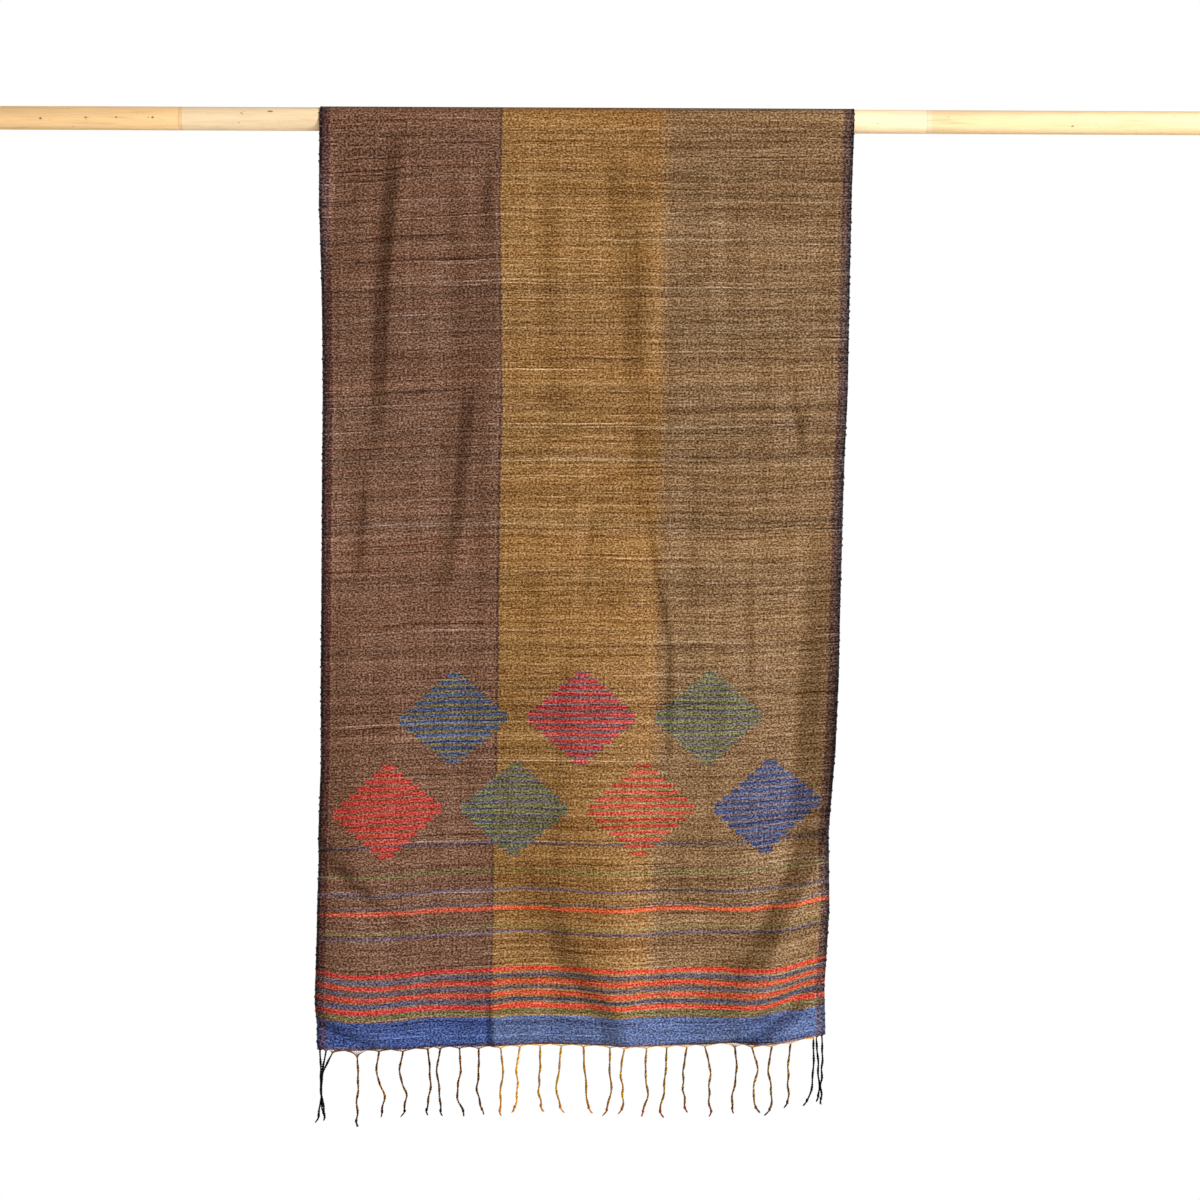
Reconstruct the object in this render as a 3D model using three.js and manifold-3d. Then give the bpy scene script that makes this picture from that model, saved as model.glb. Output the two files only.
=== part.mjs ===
// A handwoven silk scarf hung over a round wooden rod, in millimetres.
//
// +Z is up and -Y faces the viewer. The origin is on the rod's axis, halfway along the scarf's width.
// The cloth is one woven length. It is built in three stretches that meet at the rod's level: the front
// fall, the turn over the rod and the back fall. Each hem carries a fringe of its own warp ends, twisted
// into strands and knotted at the tips.

import * as THREE from "three";
import { mergeVertices } from "three/addons/utils/BufferGeometryUtils.js";
import Module from "manifold-3d";

const wasm = await Module();
wasm.setup();

// ---------------------------------------------------------------- driving dimensions

const ROD = { diameter: 22, length: 1200, chamfer: 1.5, sides: 32 };

const CLOTH = {
  width: 500,
  wall: 1.2,
  frontDrop: 866, // from the rod's axis down to the front hem
  backDrop: 786,
};

const SEAM_GAP = 0.3; // between pieces that meet

const FRINGE = {
  band: 2, // height of the strip of gathered warp ends along the hem
  radius: 1, // of a twisted strand
  knotRadius: 1.7,
  knotLength: 6,
  sides: 4,
};

// How finely each fall is divided.
const FRONT_GRID = { columns: 50, rows: 30 };
const BACK_GRID = { columns: 36, rows: 18 };

// ---------------------------------------------------------------- the folds

// One row is one fold, a soft ridge that runs down the cloth. Its place `across` is measured from the
// left selvedge and moves by `drift` on the way down. `width` is the distance from its crest to its
// steepest flank, and `out` is how far the crest stands away from the rod (a trough is negative). The
// fold grows between `from` and `full`, and is gone at `until`, all measured down from the rod.
const HEM = Infinity; // the fold runs out through the hem

const FRONT_FOLDS = [
  // narrow troughs in the upper half
  { across: 75, drift: -22, width: 9, out: -9, from: 10, full: 110, until: 460 },
  { across: 146, drift: -10, width: 10, out: -9, from: 60, full: 250, until: 500 },
  { across: 222, drift: -5, width: 11, out: -7, from: 30, full: 160, until: 430 },
  { across: 288, drift: 22, width: 10, out: -8, from: 20, full: 150, until: 480 },
  { across: 452, drift: -4, width: 8, out: -6, from: 200, full: 280, until: 400 },
  // troughs that start halfway down
  { across: 262, drift: -12, width: 9, out: -6, from: 330, full: 400, until: 620 },
  { across: 305, drift: 34, width: 8, out: -8, from: 330, full: 400, until: 720 },
  { across: 470, drift: -12, width: 12, out: -8, from: 330, full: 420, until: 700 },
  // broad waves that open towards the hem
  { across: 40, drift: 16, width: 42, out: 25, from: 250, full: 860, until: HEM },
  { across: 235, drift: 62, width: 40, out: 25, from: 300, full: 830, until: HEM },
  { across: 405, drift: 34, width: 34, out: 22, from: 250, full: 840, until: HEM },
  { across: 516, drift: 0, width: 26, out: -20, from: 300, full: 800, until: HEM },
  { across: -14, drift: 0, width: 26, out: -10, from: 450, full: 830, until: HEM },
];

const BACK_FOLDS = [
  { across: 118, drift: 10, width: 11, out: -6, from: 30, full: 180, until: 460 },
  { across: 330, drift: -16, width: 12, out: -7, from: 40, full: 200, until: 500 },
  { across: 76, drift: 8, width: 38, out: 28, from: 120, full: 780, until: HEM },
  { across: 255, drift: -22, width: 38, out: 30, from: 160, full: 800, until: HEM },
  { across: 420, drift: 4, width: 36, out: 29, from: 100, full: 780, until: HEM },
];

// The cloth stands this far off its tangent to the rod, so that its troughs stay clear of the other fall.
const STAND_OFF = { out: 4, full: 90 };

// Where the selvedges hang, from the rod's middle. Broad waves draw the cloth in towards its hem, and so
// do the many ripples that are too fine to be modelled.
const FRONT_EDGES = [
  { down: 0, left: -250, right: 250 },
  { down: 70, left: -251, right: 247.5 },
  { down: 145, left: -248.5, right: 246 },
  { down: 260, left: -245.5, right: 244.5 },
  { down: 370, left: -245.5, right: 239.5 },
  { down: 525, left: -245.5, right: 237.5 },
  { down: 600, left: -245, right: 234.5 },
  { down: 675, left: -247, right: 229 },
  { down: 750, left: -247, right: 230.5 },
  { down: 825, left: -247.5, right: 226.5 },
  { down: 866, left: -244.5, right: 227.5 },
];

const BACK_EDGES = [
  { down: 0, left: -250, right: 250 },
  { down: 260, left: -246, right: 246 },
  { down: 525, left: -244, right: 240 },
  { down: 786, left: -240, right: 226 },
];

// The weft is a little askew: it sags towards the left selvedge and lifts towards the right one.
const SKEW = [
  { down: 0, leftSag: 0, rightLift: 0 },
  { down: 45, leftSag: 9, rightLift: 0 },
  { down: 390, leftSag: 8, rightLift: 4 },
  { down: 620, leftSag: 6, rightLift: 8 },
  { down: 770, leftSag: 6, rightLift: 10 },
  { down: 866, leftSag: 3, rightLift: 8 },
];
const SKEW_REACH = { left: 190, right: 120 }; // how far in from each selvedge it is seen

// ---------------------------------------------------------------- the fringe

// One row is one strand: where it leaves the hem, its sideways place at a third and two thirds of its
// length, and its tip, each relative to that root, and its length.
const STRANDS = [
  { across: 2, third: 2, twoThirds: 3, tip: 0, length: 66 },
  { across: 8, third: 0, twoThirds: 1, tip: 5, length: 64 },
  { across: 42, third: 1, twoThirds: 0, tip: -1, length: 70 },
  { across: 65, third: -2, twoThirds: 4, tip: 0, length: 61 },
  { across: 86, third: -3, twoThirds: 3, tip: 0, length: 61 },
  { across: 108, third: 2, twoThirds: 2, tip: -3, length: 62 },
  { across: 122, third: -3, twoThirds: 0, tip: 0, length: 63 },
  { across: 140, third: 1, twoThirds: -2, tip: 5, length: 64 },
  { across: 158, third: 0, twoThirds: -1, tip: 6, length: 62 },
  { across: 178, third: 2, twoThirds: 0, tip: -1, length: 64 },
  { across: 198, third: -3, twoThirds: -2, tip: -6, length: 62 },
  { across: 216, third: 0, twoThirds: -1, tip: 2, length: 61 },
  { across: 237, third: -2, twoThirds: -4, tip: 0, length: 62 },
  { across: 257, third: 1, twoThirds: 3, tip: 5, length: 62 },
  { across: 282, third: 0, twoThirds: 1, tip: -4, length: 63 },
  { across: 297, third: -3, twoThirds: -1, tip: -2, length: 61 },
  { across: 317, third: -1, twoThirds: 1, tip: -4, length: 64 },
  { across: 338, third: -3, twoThirds: -4, tip: -8, length: 65 },
  { across: 357, third: -3, twoThirds: -3, tip: 0, length: 62 },
  { across: 372, third: 5, twoThirds: 4, tip: 7, length: 66 },
  { across: 398, third: 4, twoThirds: 1, tip: 0, length: 64 },
  { across: 413, third: 5, twoThirds: 2, tip: 9, length: 61 },
  { across: 439, third: -3, twoThirds: 0, tip: -4, length: 64 },
  { across: 457, third: -1, twoThirds: -1, tip: -1, length: 60 },
  { across: 485, third: 1, twoThirds: 0, tip: -6, length: 64 },
  { across: 497, third: 1, twoThirds: 0, tip: 1, length: 64 },
];

// ---------------------------------------------------------------- where the cloth lies

const rodRadius = ROD.diameter / 2;
const turnInside = rodRadius + SEAM_GAP;
const turnRadius = turnInside + CLOTH.wall / 2; // of the cloth's middle surface over the rod

const FRONT = { folds: FRONT_FOLDS, edges: FRONT_EDGES, towards: -1, drop: CLOTH.frontDrop };
const BACK = { folds: BACK_FOLDS, edges: BACK_EDGES, towards: 1, drop: CLOTH.backDrop };

const { clamp, lerp, smoothstep, mapLinear } = THREE.MathUtils;

function foldOut(fold, drop, across, down) {
  const end = Math.min(fold.until, drop);
  const travelled = clamp((down - fold.from) / (end - fold.from), 0, 1);
  const fromCrest = (across - fold.across - fold.drift * travelled) / fold.width;
  const grown = smoothstep(down, fold.from, fold.full);
  const left = fold.until === HEM ? 1 : 1 - smoothstep(down, (fold.full + fold.until) / 2, fold.until);
  return fold.out * grown * left * Math.exp(-0.5 * fromCrest ** 2);
}

// How far the cloth stands out from its tangent to the rod.
function standsOut(fall, across, down) {
  const plain = STAND_OFF.out * smoothstep(down, 0, STAND_OFF.full);
  return fall.folds.reduce((sum, fold) => sum + foldOut(fold, fall.drop, across, down), plain);
}

// One column of a table of sections, interpolated between the rows above and below.
function sectionValue(table, column, down) {
  const below = table.findIndex((row) => row.down >= down);
  if (below === -1) return table.at(-1)[column];
  if (below === 0) return table[0][column];
  const [upper, lower] = [table[below - 1], table[below]];
  return lerp(upper[column], lower[column], (down - upper.down) / (lower.down - upper.down));
}

// How far the weft lies below its level place.
function skewDown(across, down) {
  const nearLeft = clamp(1 - across / SKEW_REACH.left, 0, 1) ** 1.4;
  const nearRight = clamp(1 - (CLOTH.width - across) / SKEW_REACH.right, 0, 1) ** 1.4;
  return sectionValue(SKEW, "leftSag", down) * nearLeft - sectionValue(SKEW, "rightLift", down) * nearRight;
}

// The level distance from the left selvedge to each of some places on a row of cloth, which is shorter
// than the cloth between them where the row waves in depth.
function levelDistances(fall, down, acrosses) {
  const step = 1;
  const distances = [];
  let level = 0;
  let at = 0;
  for (const across of acrosses) {
    while (at < across) {
      const next = Math.min(at + step, across);
      const rise = standsOut(fall, next, down) - standsOut(fall, at, down);
      level += Math.sqrt((next - at) ** 2 - rise ** 2);
      at = next;
    }
    distances.push(level);
  }
  return distances;
}

// The places of one row of the cloth's middle surface, between its selvedges.
function clothRow(fall, down, acrosses) {
  const left = sectionValue(fall.edges, "left", down);
  const right = sectionValue(fall.edges, "right", down);
  const [whole] = levelDistances(fall, down, [CLOTH.width]);
  return levelDistances(fall, down, acrosses).map((level, i) => {
    const x = mapLinear(level, 0, whole, left, right);
    const y = fall.towards * (turnRadius + standsOut(fall, acrosses[i], down));
    return new THREE.Vector3(x, y, -down - skewDown(acrosses[i], down));
  });
}

const evenly = (count, low, high) =>
  Array.from({ length: count + 1 }, (_, i) => mapLinear(i, 0, count, low, high));

function clothGrid(fall, downs, acrosses) {
  return downs.map((down) => clothRow(fall, down, acrosses));
}

// ---------------------------------------------------------------- geometry helpers

function indexedGeometry(positions, index) {
  return new THREE.BufferGeometry()
    .setAttribute("position", new THREE.Float32BufferAttribute(positions, 3))
    .setIndex(index);
}

// The normal of a grid of points at one of them, towards the viewer.
function gridNormal(grid, row, column) {
  const rows = grid.length - 1;
  const columns = grid[0].length - 1;
  const downwards = grid[Math.min(row + 1, rows)][column].clone().sub(grid[Math.max(row - 1, 0)][column]);
  const sideways = grid[row][Math.min(column + 1, columns)].clone().sub(grid[row][Math.max(column - 1, 0)]);
  return downwards.cross(sideways).normalize();
}

// A closed wall of even thickness on both sides of a grid of points, whose rows run down the cloth.
function wallGeometry(grid, wall) {
  const rows = grid.length;
  const columns = grid[0].length;
  const positions = [];
  for (const side of [wall / 2, -wall / 2]) {
    grid.forEach((places, row) =>
      places.forEach((place, column) => {
        const moved = place.clone().addScaledVector(gridNormal(grid, row, column), side);
        positions.push(moved.x, moved.y, moved.z);
      }),
    );
  }
  const near = (row, column) => row * columns + column;
  const far = (row, column) => near(row, column) + rows * columns;
  const index = [];
  const quad = (a, b, c, d) => index.push(a, b, c, a, c, d);
  for (let r = 0; r < rows - 1; r++) {
    for (let c = 0; c < columns - 1; c++) {
      quad(near(r, c), near(r + 1, c), near(r + 1, c + 1), near(r, c + 1));
      quad(far(r, c), far(r, c + 1), far(r + 1, c + 1), far(r + 1, c));
    }
    quad(near(r, 0), far(r, 0), far(r + 1, 0), near(r + 1, 0));
    quad(near(r, columns - 1), near(r + 1, columns - 1), far(r + 1, columns - 1), far(r, columns - 1));
  }
  for (let c = 0; c < columns - 1; c++) {
    quad(near(0, c), near(0, c + 1), far(0, c + 1), far(0, c));
    quad(near(rows - 1, c), far(rows - 1, c), far(rows - 1, c + 1), near(rows - 1, c + 1));
  }
  return indexedGeometry(positions, index);
}

// A closed tube through level rings, from the top ring to the bottom one.
function strandGeometry(rings) {
  const sides = FRINGE.sides;
  const positions = [];
  for (const { place, radius } of rings) {
    for (let k = 0; k < sides; k++) {
      const angle = (2 * Math.PI * k) / sides;
      positions.push(place.x + radius * Math.cos(angle), place.y + radius * Math.sin(angle), place.z);
    }
  }
  const index = [];
  for (let r = 0; r < rings.length - 1; r++) {
    for (let k = 0; k < sides; k++) {
      const next = (k + 1) % sides;
      const [a, b] = [r * sides + k, r * sides + next];
      index.push(a, a + sides, b + sides, a, b + sides, b);
    }
  }
  const bottom = (rings.length - 1) * sides;
  for (let k = 1; k < sides - 1; k++) {
    index.push(0, k, k + 1);
    index.push(bottom, bottom + k + 1, bottom + k);
  }
  return indexedGeometry(positions, index);
}

function solidOf(geometry) {
  const merged = mergeVertices(geometry, 1e-3);
  const vertProperties = merged.getAttribute("position").array;
  return new wasm.Manifold(new wasm.Mesh({ numProp: 3, vertProperties, triVerts: merged.index.array }));
}

function geometryOf(solid) {
  const mesh = solid.getMesh();
  return indexedGeometry(Array.from(mesh.vertProperties), Array.from(mesh.triVerts));
}

// ---------------------------------------------------------------- the pieces

function rodGeometry() {
  const half = ROD.length / 2;
  const shoulder = half - ROD.chamfer;
  const faceRadius = rodRadius - ROD.chamfer;
  const profile = [
    new THREE.Vector2(0, -half),
    new THREE.Vector2(faceRadius, -half),
    new THREE.Vector2(rodRadius, -shoulder),
    new THREE.Vector2(rodRadius, shoulder),
    new THREE.Vector2(faceRadius, half),
    new THREE.Vector2(0, half),
  ];
  return new THREE.LatheGeometry(profile, ROD.sides).rotateZ(Math.PI / 2);
}

// The half turn of cloth over the rod: half a ring, drawn across the rod and pushed out along it.
function turnGeometry() {
  const ring = new THREE.Shape();
  ring.absarc(0, 0, turnInside + CLOTH.wall, 0, Math.PI, false);
  ring.absarc(0, 0, turnInside, Math.PI, 0, true);
  ring.closePath();
  const curveSegments = ROD.sides / 2;
  return new THREE.ExtrudeGeometry(ring, { depth: CLOTH.width, curveSegments, bevelEnabled: false })
    .translate(0, 0, -CLOTH.width / 2)
    .rotateX(Math.PI / 2) // the ring's height becomes +Z
    .rotateZ(Math.PI / 2); // the cloth's width becomes X
}

function fallGeometry(fall, { columns, rows }) {
  const grid = clothGrid(fall, evenly(rows, SEAM_GAP, fall.drop), evenly(columns, 0, CLOTH.width));
  return wallGeometry(grid, CLOTH.wall);
}

// One strand, rooted in the middle of the strip at `root`. It hangs in the plane of its root and ends
// in a knot.
function strandRings(root, strand) {
  const { length, third, twoThirds, tip } = strand;
  const knotTop = length - FRINGE.knotLength;
  const swayAt = new THREE.SplineCurve([
    new THREE.Vector2(0, 0),
    new THREE.Vector2(third, length / 3),
    new THREE.Vector2(twoThirds, (2 * length) / 3),
    new THREE.Vector2(tip, length),
  ]);
  const ring = (down, radius) => {
    const sway = swayAt.getPoint(down / length).x;
    return { place: new THREE.Vector3(root.x + sway, root.y, root.z - down), radius };
  };
  return [
    ring(0, FRINGE.radius / 2),
    ...[1 / 6, 1 / 3, 1 / 2, 2 / 3].map((share) => ring(share * length, FRINGE.radius)),
    ring(knotTop, FRINGE.radius),
    ring(knotTop + FRINGE.knotLength / 3, FRINGE.knotRadius),
    ring(length, FRINGE.radius / 2),
  ];
}

// The strip of gathered warp ends along a hem, with its strands fused to it. It has the hem's columns, so
// that it follows the hem's folds.
function fringeGeometry(fall, { columns }, strands) {
  const top = fall.drop + SEAM_GAP;
  const strip = clothGrid(fall, [top, top + FRINGE.band], evenly(columns, 0, CLOTH.width));
  const roots = clothRow(fall, top + FRINGE.band / 2, strands.map((strand) => strand.across));
  const fused = strands.reduce(
    (solid, strand, i) => solid.add(solidOf(strandGeometry(strandRings(roots[i], strand)))),
    solidOf(wallGeometry(strip, CLOTH.wall)),
  );
  return geometryOf(fused);
}

// The back fringe is the same one seen from behind, so its strands run the other way.
const backStrands = STRANDS.map(({ across, third, twoThirds, tip, length }) => ({
  across: CLOTH.width - across,
  third: -third,
  twoThirds: -twoThirds,
  tip: -tip,
  length,
})).reverse();

// ---------------------------------------------------------------- materials and assembly

const wood = new THREE.MeshStandardMaterial({ color: 0xe6c493, roughness: 0.55, metalness: 0 });
const silk = new THREE.MeshStandardMaterial({ color: 0x86633f, roughness: 0.7, metalness: 0 });
const warpEnds = new THREE.MeshStandardMaterial({ color: 0x8a5a24, roughness: 0.75, metalness: 0 });

function piece(name, geometry, material) {
  const mesh = new THREE.Mesh(geometry, material);
  mesh.name = name;
  return mesh;
}

const scarf = new THREE.Group();
scarf.add(
  piece("cloth_front_fall", fallGeometry(FRONT, FRONT_GRID), silk),
  piece("cloth_over_rod", turnGeometry(), silk),
  piece("cloth_back_fall", fallGeometry(BACK, BACK_GRID), silk),
  piece("fringe_front", fringeGeometry(FRONT, FRONT_GRID, STRANDS), warpEnds),
  piece("fringe_back", fringeGeometry(BACK, BACK_GRID, backStrands), warpEnds),
);

const hungScarf = new THREE.Group();
hungScarf.add(scarf, piece("rod", rodGeometry(), wood));

export default hungScarf;
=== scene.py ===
# %% [markdown]
# # A handwoven silk scarf over a wooden rod
#
# The scarf is one long cloth of raw silk. It lies over a round rod and hangs down on both sides, and its
# own warp ends are twisted into a fringe at each hem. Here the cloth is bent from a flat sheet by tables
# of folds, Geometry Nodes lay the edges and the fringe along paths, and a material works out the weave
# from each point's place in the cloth.

# %% Load the frame
import json
import math
from collections import namedtuple

import bpy
import numpy as np
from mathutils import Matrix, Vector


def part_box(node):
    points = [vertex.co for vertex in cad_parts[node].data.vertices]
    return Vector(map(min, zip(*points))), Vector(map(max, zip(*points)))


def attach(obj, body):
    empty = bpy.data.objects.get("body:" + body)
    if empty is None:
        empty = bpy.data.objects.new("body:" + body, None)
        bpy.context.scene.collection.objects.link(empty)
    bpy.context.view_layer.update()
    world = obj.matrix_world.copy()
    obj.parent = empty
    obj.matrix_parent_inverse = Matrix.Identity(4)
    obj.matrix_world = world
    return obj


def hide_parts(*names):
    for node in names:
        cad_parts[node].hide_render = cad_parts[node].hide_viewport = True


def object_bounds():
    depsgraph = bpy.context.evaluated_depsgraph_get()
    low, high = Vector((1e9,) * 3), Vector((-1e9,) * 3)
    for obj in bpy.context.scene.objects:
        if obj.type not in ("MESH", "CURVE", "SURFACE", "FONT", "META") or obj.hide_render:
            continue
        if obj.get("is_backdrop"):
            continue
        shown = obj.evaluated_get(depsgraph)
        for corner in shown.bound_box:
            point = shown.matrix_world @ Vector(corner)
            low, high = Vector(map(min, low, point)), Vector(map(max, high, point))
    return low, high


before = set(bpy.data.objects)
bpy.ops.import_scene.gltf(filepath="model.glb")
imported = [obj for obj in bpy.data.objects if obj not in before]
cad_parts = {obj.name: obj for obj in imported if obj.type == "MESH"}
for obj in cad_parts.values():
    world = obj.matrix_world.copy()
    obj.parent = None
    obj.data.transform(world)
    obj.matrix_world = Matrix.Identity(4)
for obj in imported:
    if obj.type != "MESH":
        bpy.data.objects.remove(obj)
cad_low, cad_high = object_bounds()
print("pieces of the frame:", ", ".join(sorted(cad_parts)))
print("its size in metres:", [round(high - low, 4) for low, high in zip(cad_low, cad_high)])

# %% [markdown]
# ## Sizes
#
# A weaver measures a scarf across the loom and along the cloth. Both are kept in millimetres here, because
# a fold or a stripe is easy to picture that way, and a mesh gets metres only at the very end. What the
# frame already knows, such as the rod and the cloth's width, is read from it.

# %% Sizes
MM = 0.001

rod_low, rod_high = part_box("rod")
turn_low, turn_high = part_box("cloth_over_rod")
ROD_RADIUS = (rod_high[2] - rod_low[2]) / 2 / MM
ROD_HALF = rod_high[0] / MM
WIDTH = (turn_high[0] - turn_low[0]) / MM
FRONT_DROP = 866
BACK_DROP = 786
SILK_THICK = 0.6
EASE = 0.3  # between the rod and the silk on it
TURN_RADIUS = ROD_RADIUS + EASE + SILK_THICK / 2
TURN_LENGTH = math.pi * TURN_RADIUS
CUT_LENGTH = FRONT_DROP + TURN_LENGTH + BACK_DROP
print(f"the cloth is cut {WIDTH:.0f} mm wide and {CUT_LENGTH:.0f} mm long, without its fringes")

# %% [markdown]
# ## A helper for node trees
#
# Blender's finishes, its world and its Geometry Nodes are all small networks: each node does one step, and
# its result feeds the next. Making nodes one by one is long-winded, so this class gives each kind of step
# one short call. Finishes and yarn trees build on it further down.

# %% Node helper
def add_object(name, data):
    """An object in the scene, at the origin."""
    made = bpy.data.objects.new(name, data)
    bpy.context.scene.collection.objects.link(made)
    return made


class Steps:
    """A node tree, put together in small steps. Each call adds a node and returns its result."""

    def __init__(self, tree):
        self.tree = tree

    def feed(self, socket, value):
        """Link a result to a socket, or set the socket to a plain value."""
        if isinstance(value, bpy.types.NodeSocket):
            self.tree.links.new(value, socket)
        else:
            socket.default_value = value

    def step(self, kind, inputs, output=0, **settings):
        node = self.tree.nodes.new(kind)
        for name, value in settings.items():
            setattr(node, name, value)
        for key, value in inputs.items():
            self.feed(node.inputs[key], value)
        return node.outputs[output]

    def math(self, operation, *values):
        return self.step("ShaderNodeMath", dict(enumerate(values)), operation=operation)

    def add(self, first, second):
        return self.math("ADD", first, second)

    def minus(self, first, second):
        return self.math("SUBTRACT", first, second)

    def times(self, first, second):
        return self.math("MULTIPLY", first, second)

    def over(self, first, second):
        return self.math("DIVIDE", first, second)

    def times_add(self, value, by, more):
        return self.math("MULTIPLY_ADD", value, by, more)

    def vector(self, operation, *values, **named):
        return self.step("ShaderNodeVectorMath", dict(enumerate(values)) | named, operation=operation)

    def map(self, value, **limits):
        """A value mapped from between two limits to another range, 0 to 1 if none is given."""
        named = {name.replace("_", " "): limit for name, limit in limits.items()}
        return self.step("ShaderNodeMapRange", {"Value": value} | named)

    def mix(self, share, first, second, blend="MIX"):
        inputs = {0: share, 6: first, 7: second}
        return self.step("ShaderNodeMix", inputs, 2, data_type="RGBA", blend_type=blend)


print("node helper ready")

# %% [markdown]
# ## Camera, light and floor
#
# The scarf is seen level and from straight in front, from far enough away that its sides stay nearly
# parallel. Silk shows its folds only where light comes mainly from one side, so one large soft lamp
# stands to the right, a little above the cloth's middle. A weak warm lamp lights it from below, and one
# behind it lights its back. The room looks white, but as a light it is dimmer and warmer than it looks,
# so that the troughs keep their shade.

# %% Camera
VIEW_DISTANCE = 2.4
VIEW_WIDTH = 1.1292  # of the picture, measured at the rod
VIEW_MIDDLE = (0.0143, -0.4512)  # across and up, from the rod's middle
VIEW_ROLL = math.radians(-0.27)
SENSOR = 36

camera = add_object("camera", bpy.data.cameras.new("camera"))
camera.data.sensor_width = SENSOR
camera.data.lens = SENSOR * VIEW_DISTANCE / VIEW_WIDTH
camera.location = (VIEW_MIDDLE[0], -VIEW_DISTANCE, VIEW_MIDDLE[1])
camera.rotation_euler = (math.pi / 2, VIEW_ROLL, 0)
bpy.context.scene.camera = camera
bpy.context.scene.view_settings.view_transform = "Standard"
print(f"lens {camera.data.lens:.1f} mm")

# %% Light
ROOM_SEEN = 1.0  # how bright the room is to the eye
ROOM_LIGHT = 0.33  # and as a light
ROOM_TINT = (1.0, 0.9, 0.76, 1.0)  # of the light that the room throws back into the folds
WHITE = (1.0, 1.0, 1.0, 1.0)

world = bpy.data.worlds.new("white room")
bpy.context.scene.world = world
world.use_nodes = True
room = Steps(world.node_tree)
background = room.tree.nodes["Background"].inputs
seen = room.step("ShaderNodeLightPath", {}, "Is Camera Ray")
room.feed(background["Strength"], room.map(seen, To_Min=ROOM_LIGHT, To_Max=ROOM_SEEN))
room.feed(background["Color"], room.mix(seen, ROOM_TINT, WHITE))


def soft_lamp(name, place, aim, size, power, colour=(1, 1, 1)):
    """A square lamp that shines from one place to another."""
    data = bpy.data.lights.new(name, "AREA")
    data.size = size
    data.energy = power
    data.color = colour
    lamp = add_object(name, data)
    lamp.location = place
    direction = [a - p for a, p in zip(aim, place)]
    lamp.rotation_euler = Vector(direction).to_track_quat("-Z", "Y").to_euler()
    return lamp


SCARF_MIDDLE = (0, 0, -0.45)
soft_lamp("key lamp", (3.2, -2.7, 0.6), SCARF_MIDDLE, 1.0, 218)
soft_lamp("warm fill lamp", (0.6, -2.0, -1.4), SCARF_MIDDLE, 1.2, 14, (1.0, 0.82, 0.62))
soft_lamp("back lamp", (-1.8, 2.2, 0.9), SCARF_MIDDLE, 1.2, 60)
print("three lamps")

# %% Floor
FLOOR_DEPTH = -1.5
FLOOR_RADIUS = 1.6
FLOOR_SIDES = 96


def plain_mesh(name, points, faces):
    """An object at the origin with these points, in metres, and these faces."""
    mesh = bpy.data.meshes.new(name)
    mesh.from_pydata([tuple(map(float, p)) for p in points], [], [tuple(map(int, f)) for f in faces])
    return add_object(name, mesh)


turns = np.linspace(0, 2 * math.pi, FLOOR_SIDES, endpoint=False)
rim = [(FLOOR_RADIUS * math.cos(a), FLOOR_RADIUS * math.sin(a), FLOOR_DEPTH) for a in turns]
floor = plain_mesh("floor", rim, [range(FLOOR_SIDES)])
floor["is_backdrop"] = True
print(f"the floor lies {-FLOOR_DEPTH:.1f} m below the rod")

# %% [markdown]
# ## A helper for finishes
#
# A finish is a node tree that ends in one shader. Its steps are those of a painter: lay in a tone, cloud
# it, mix one colour over another, deepen it. A colour is written as a dyer would read it off a chart, 0 to
# 255 for red, green and blue.

# %% Finish helper
LEVELS = 255  # of a colour chart
EYE_GAMMA = 2.2
LIFT_BALANCE = (0.94, 1.0, 1.1)  # pale silk gains a little more blue than red
DARKEST = (0.03, 0.03, 0.03)
CLOUD_LIMITS = (0.28, 0.72)  # nearly all of Blender's noise lies between these


def dye(red, green, blue, cover=1.0):
    """A chart colour as the linear colour that Blender mixes with."""
    channels = [c / LEVELS for c in (red, green, blue)]
    return tuple(c / 12.92 if c <= 0.04045 else ((c + 0.055) / 1.055) ** 2.4 for c in channels) + (cover,)


def shades(*rows):
    """Rows of a place and a chart colour, as stops of a ramp."""
    return [(place, dye(*colour)) for place, *colour in rows]


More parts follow.
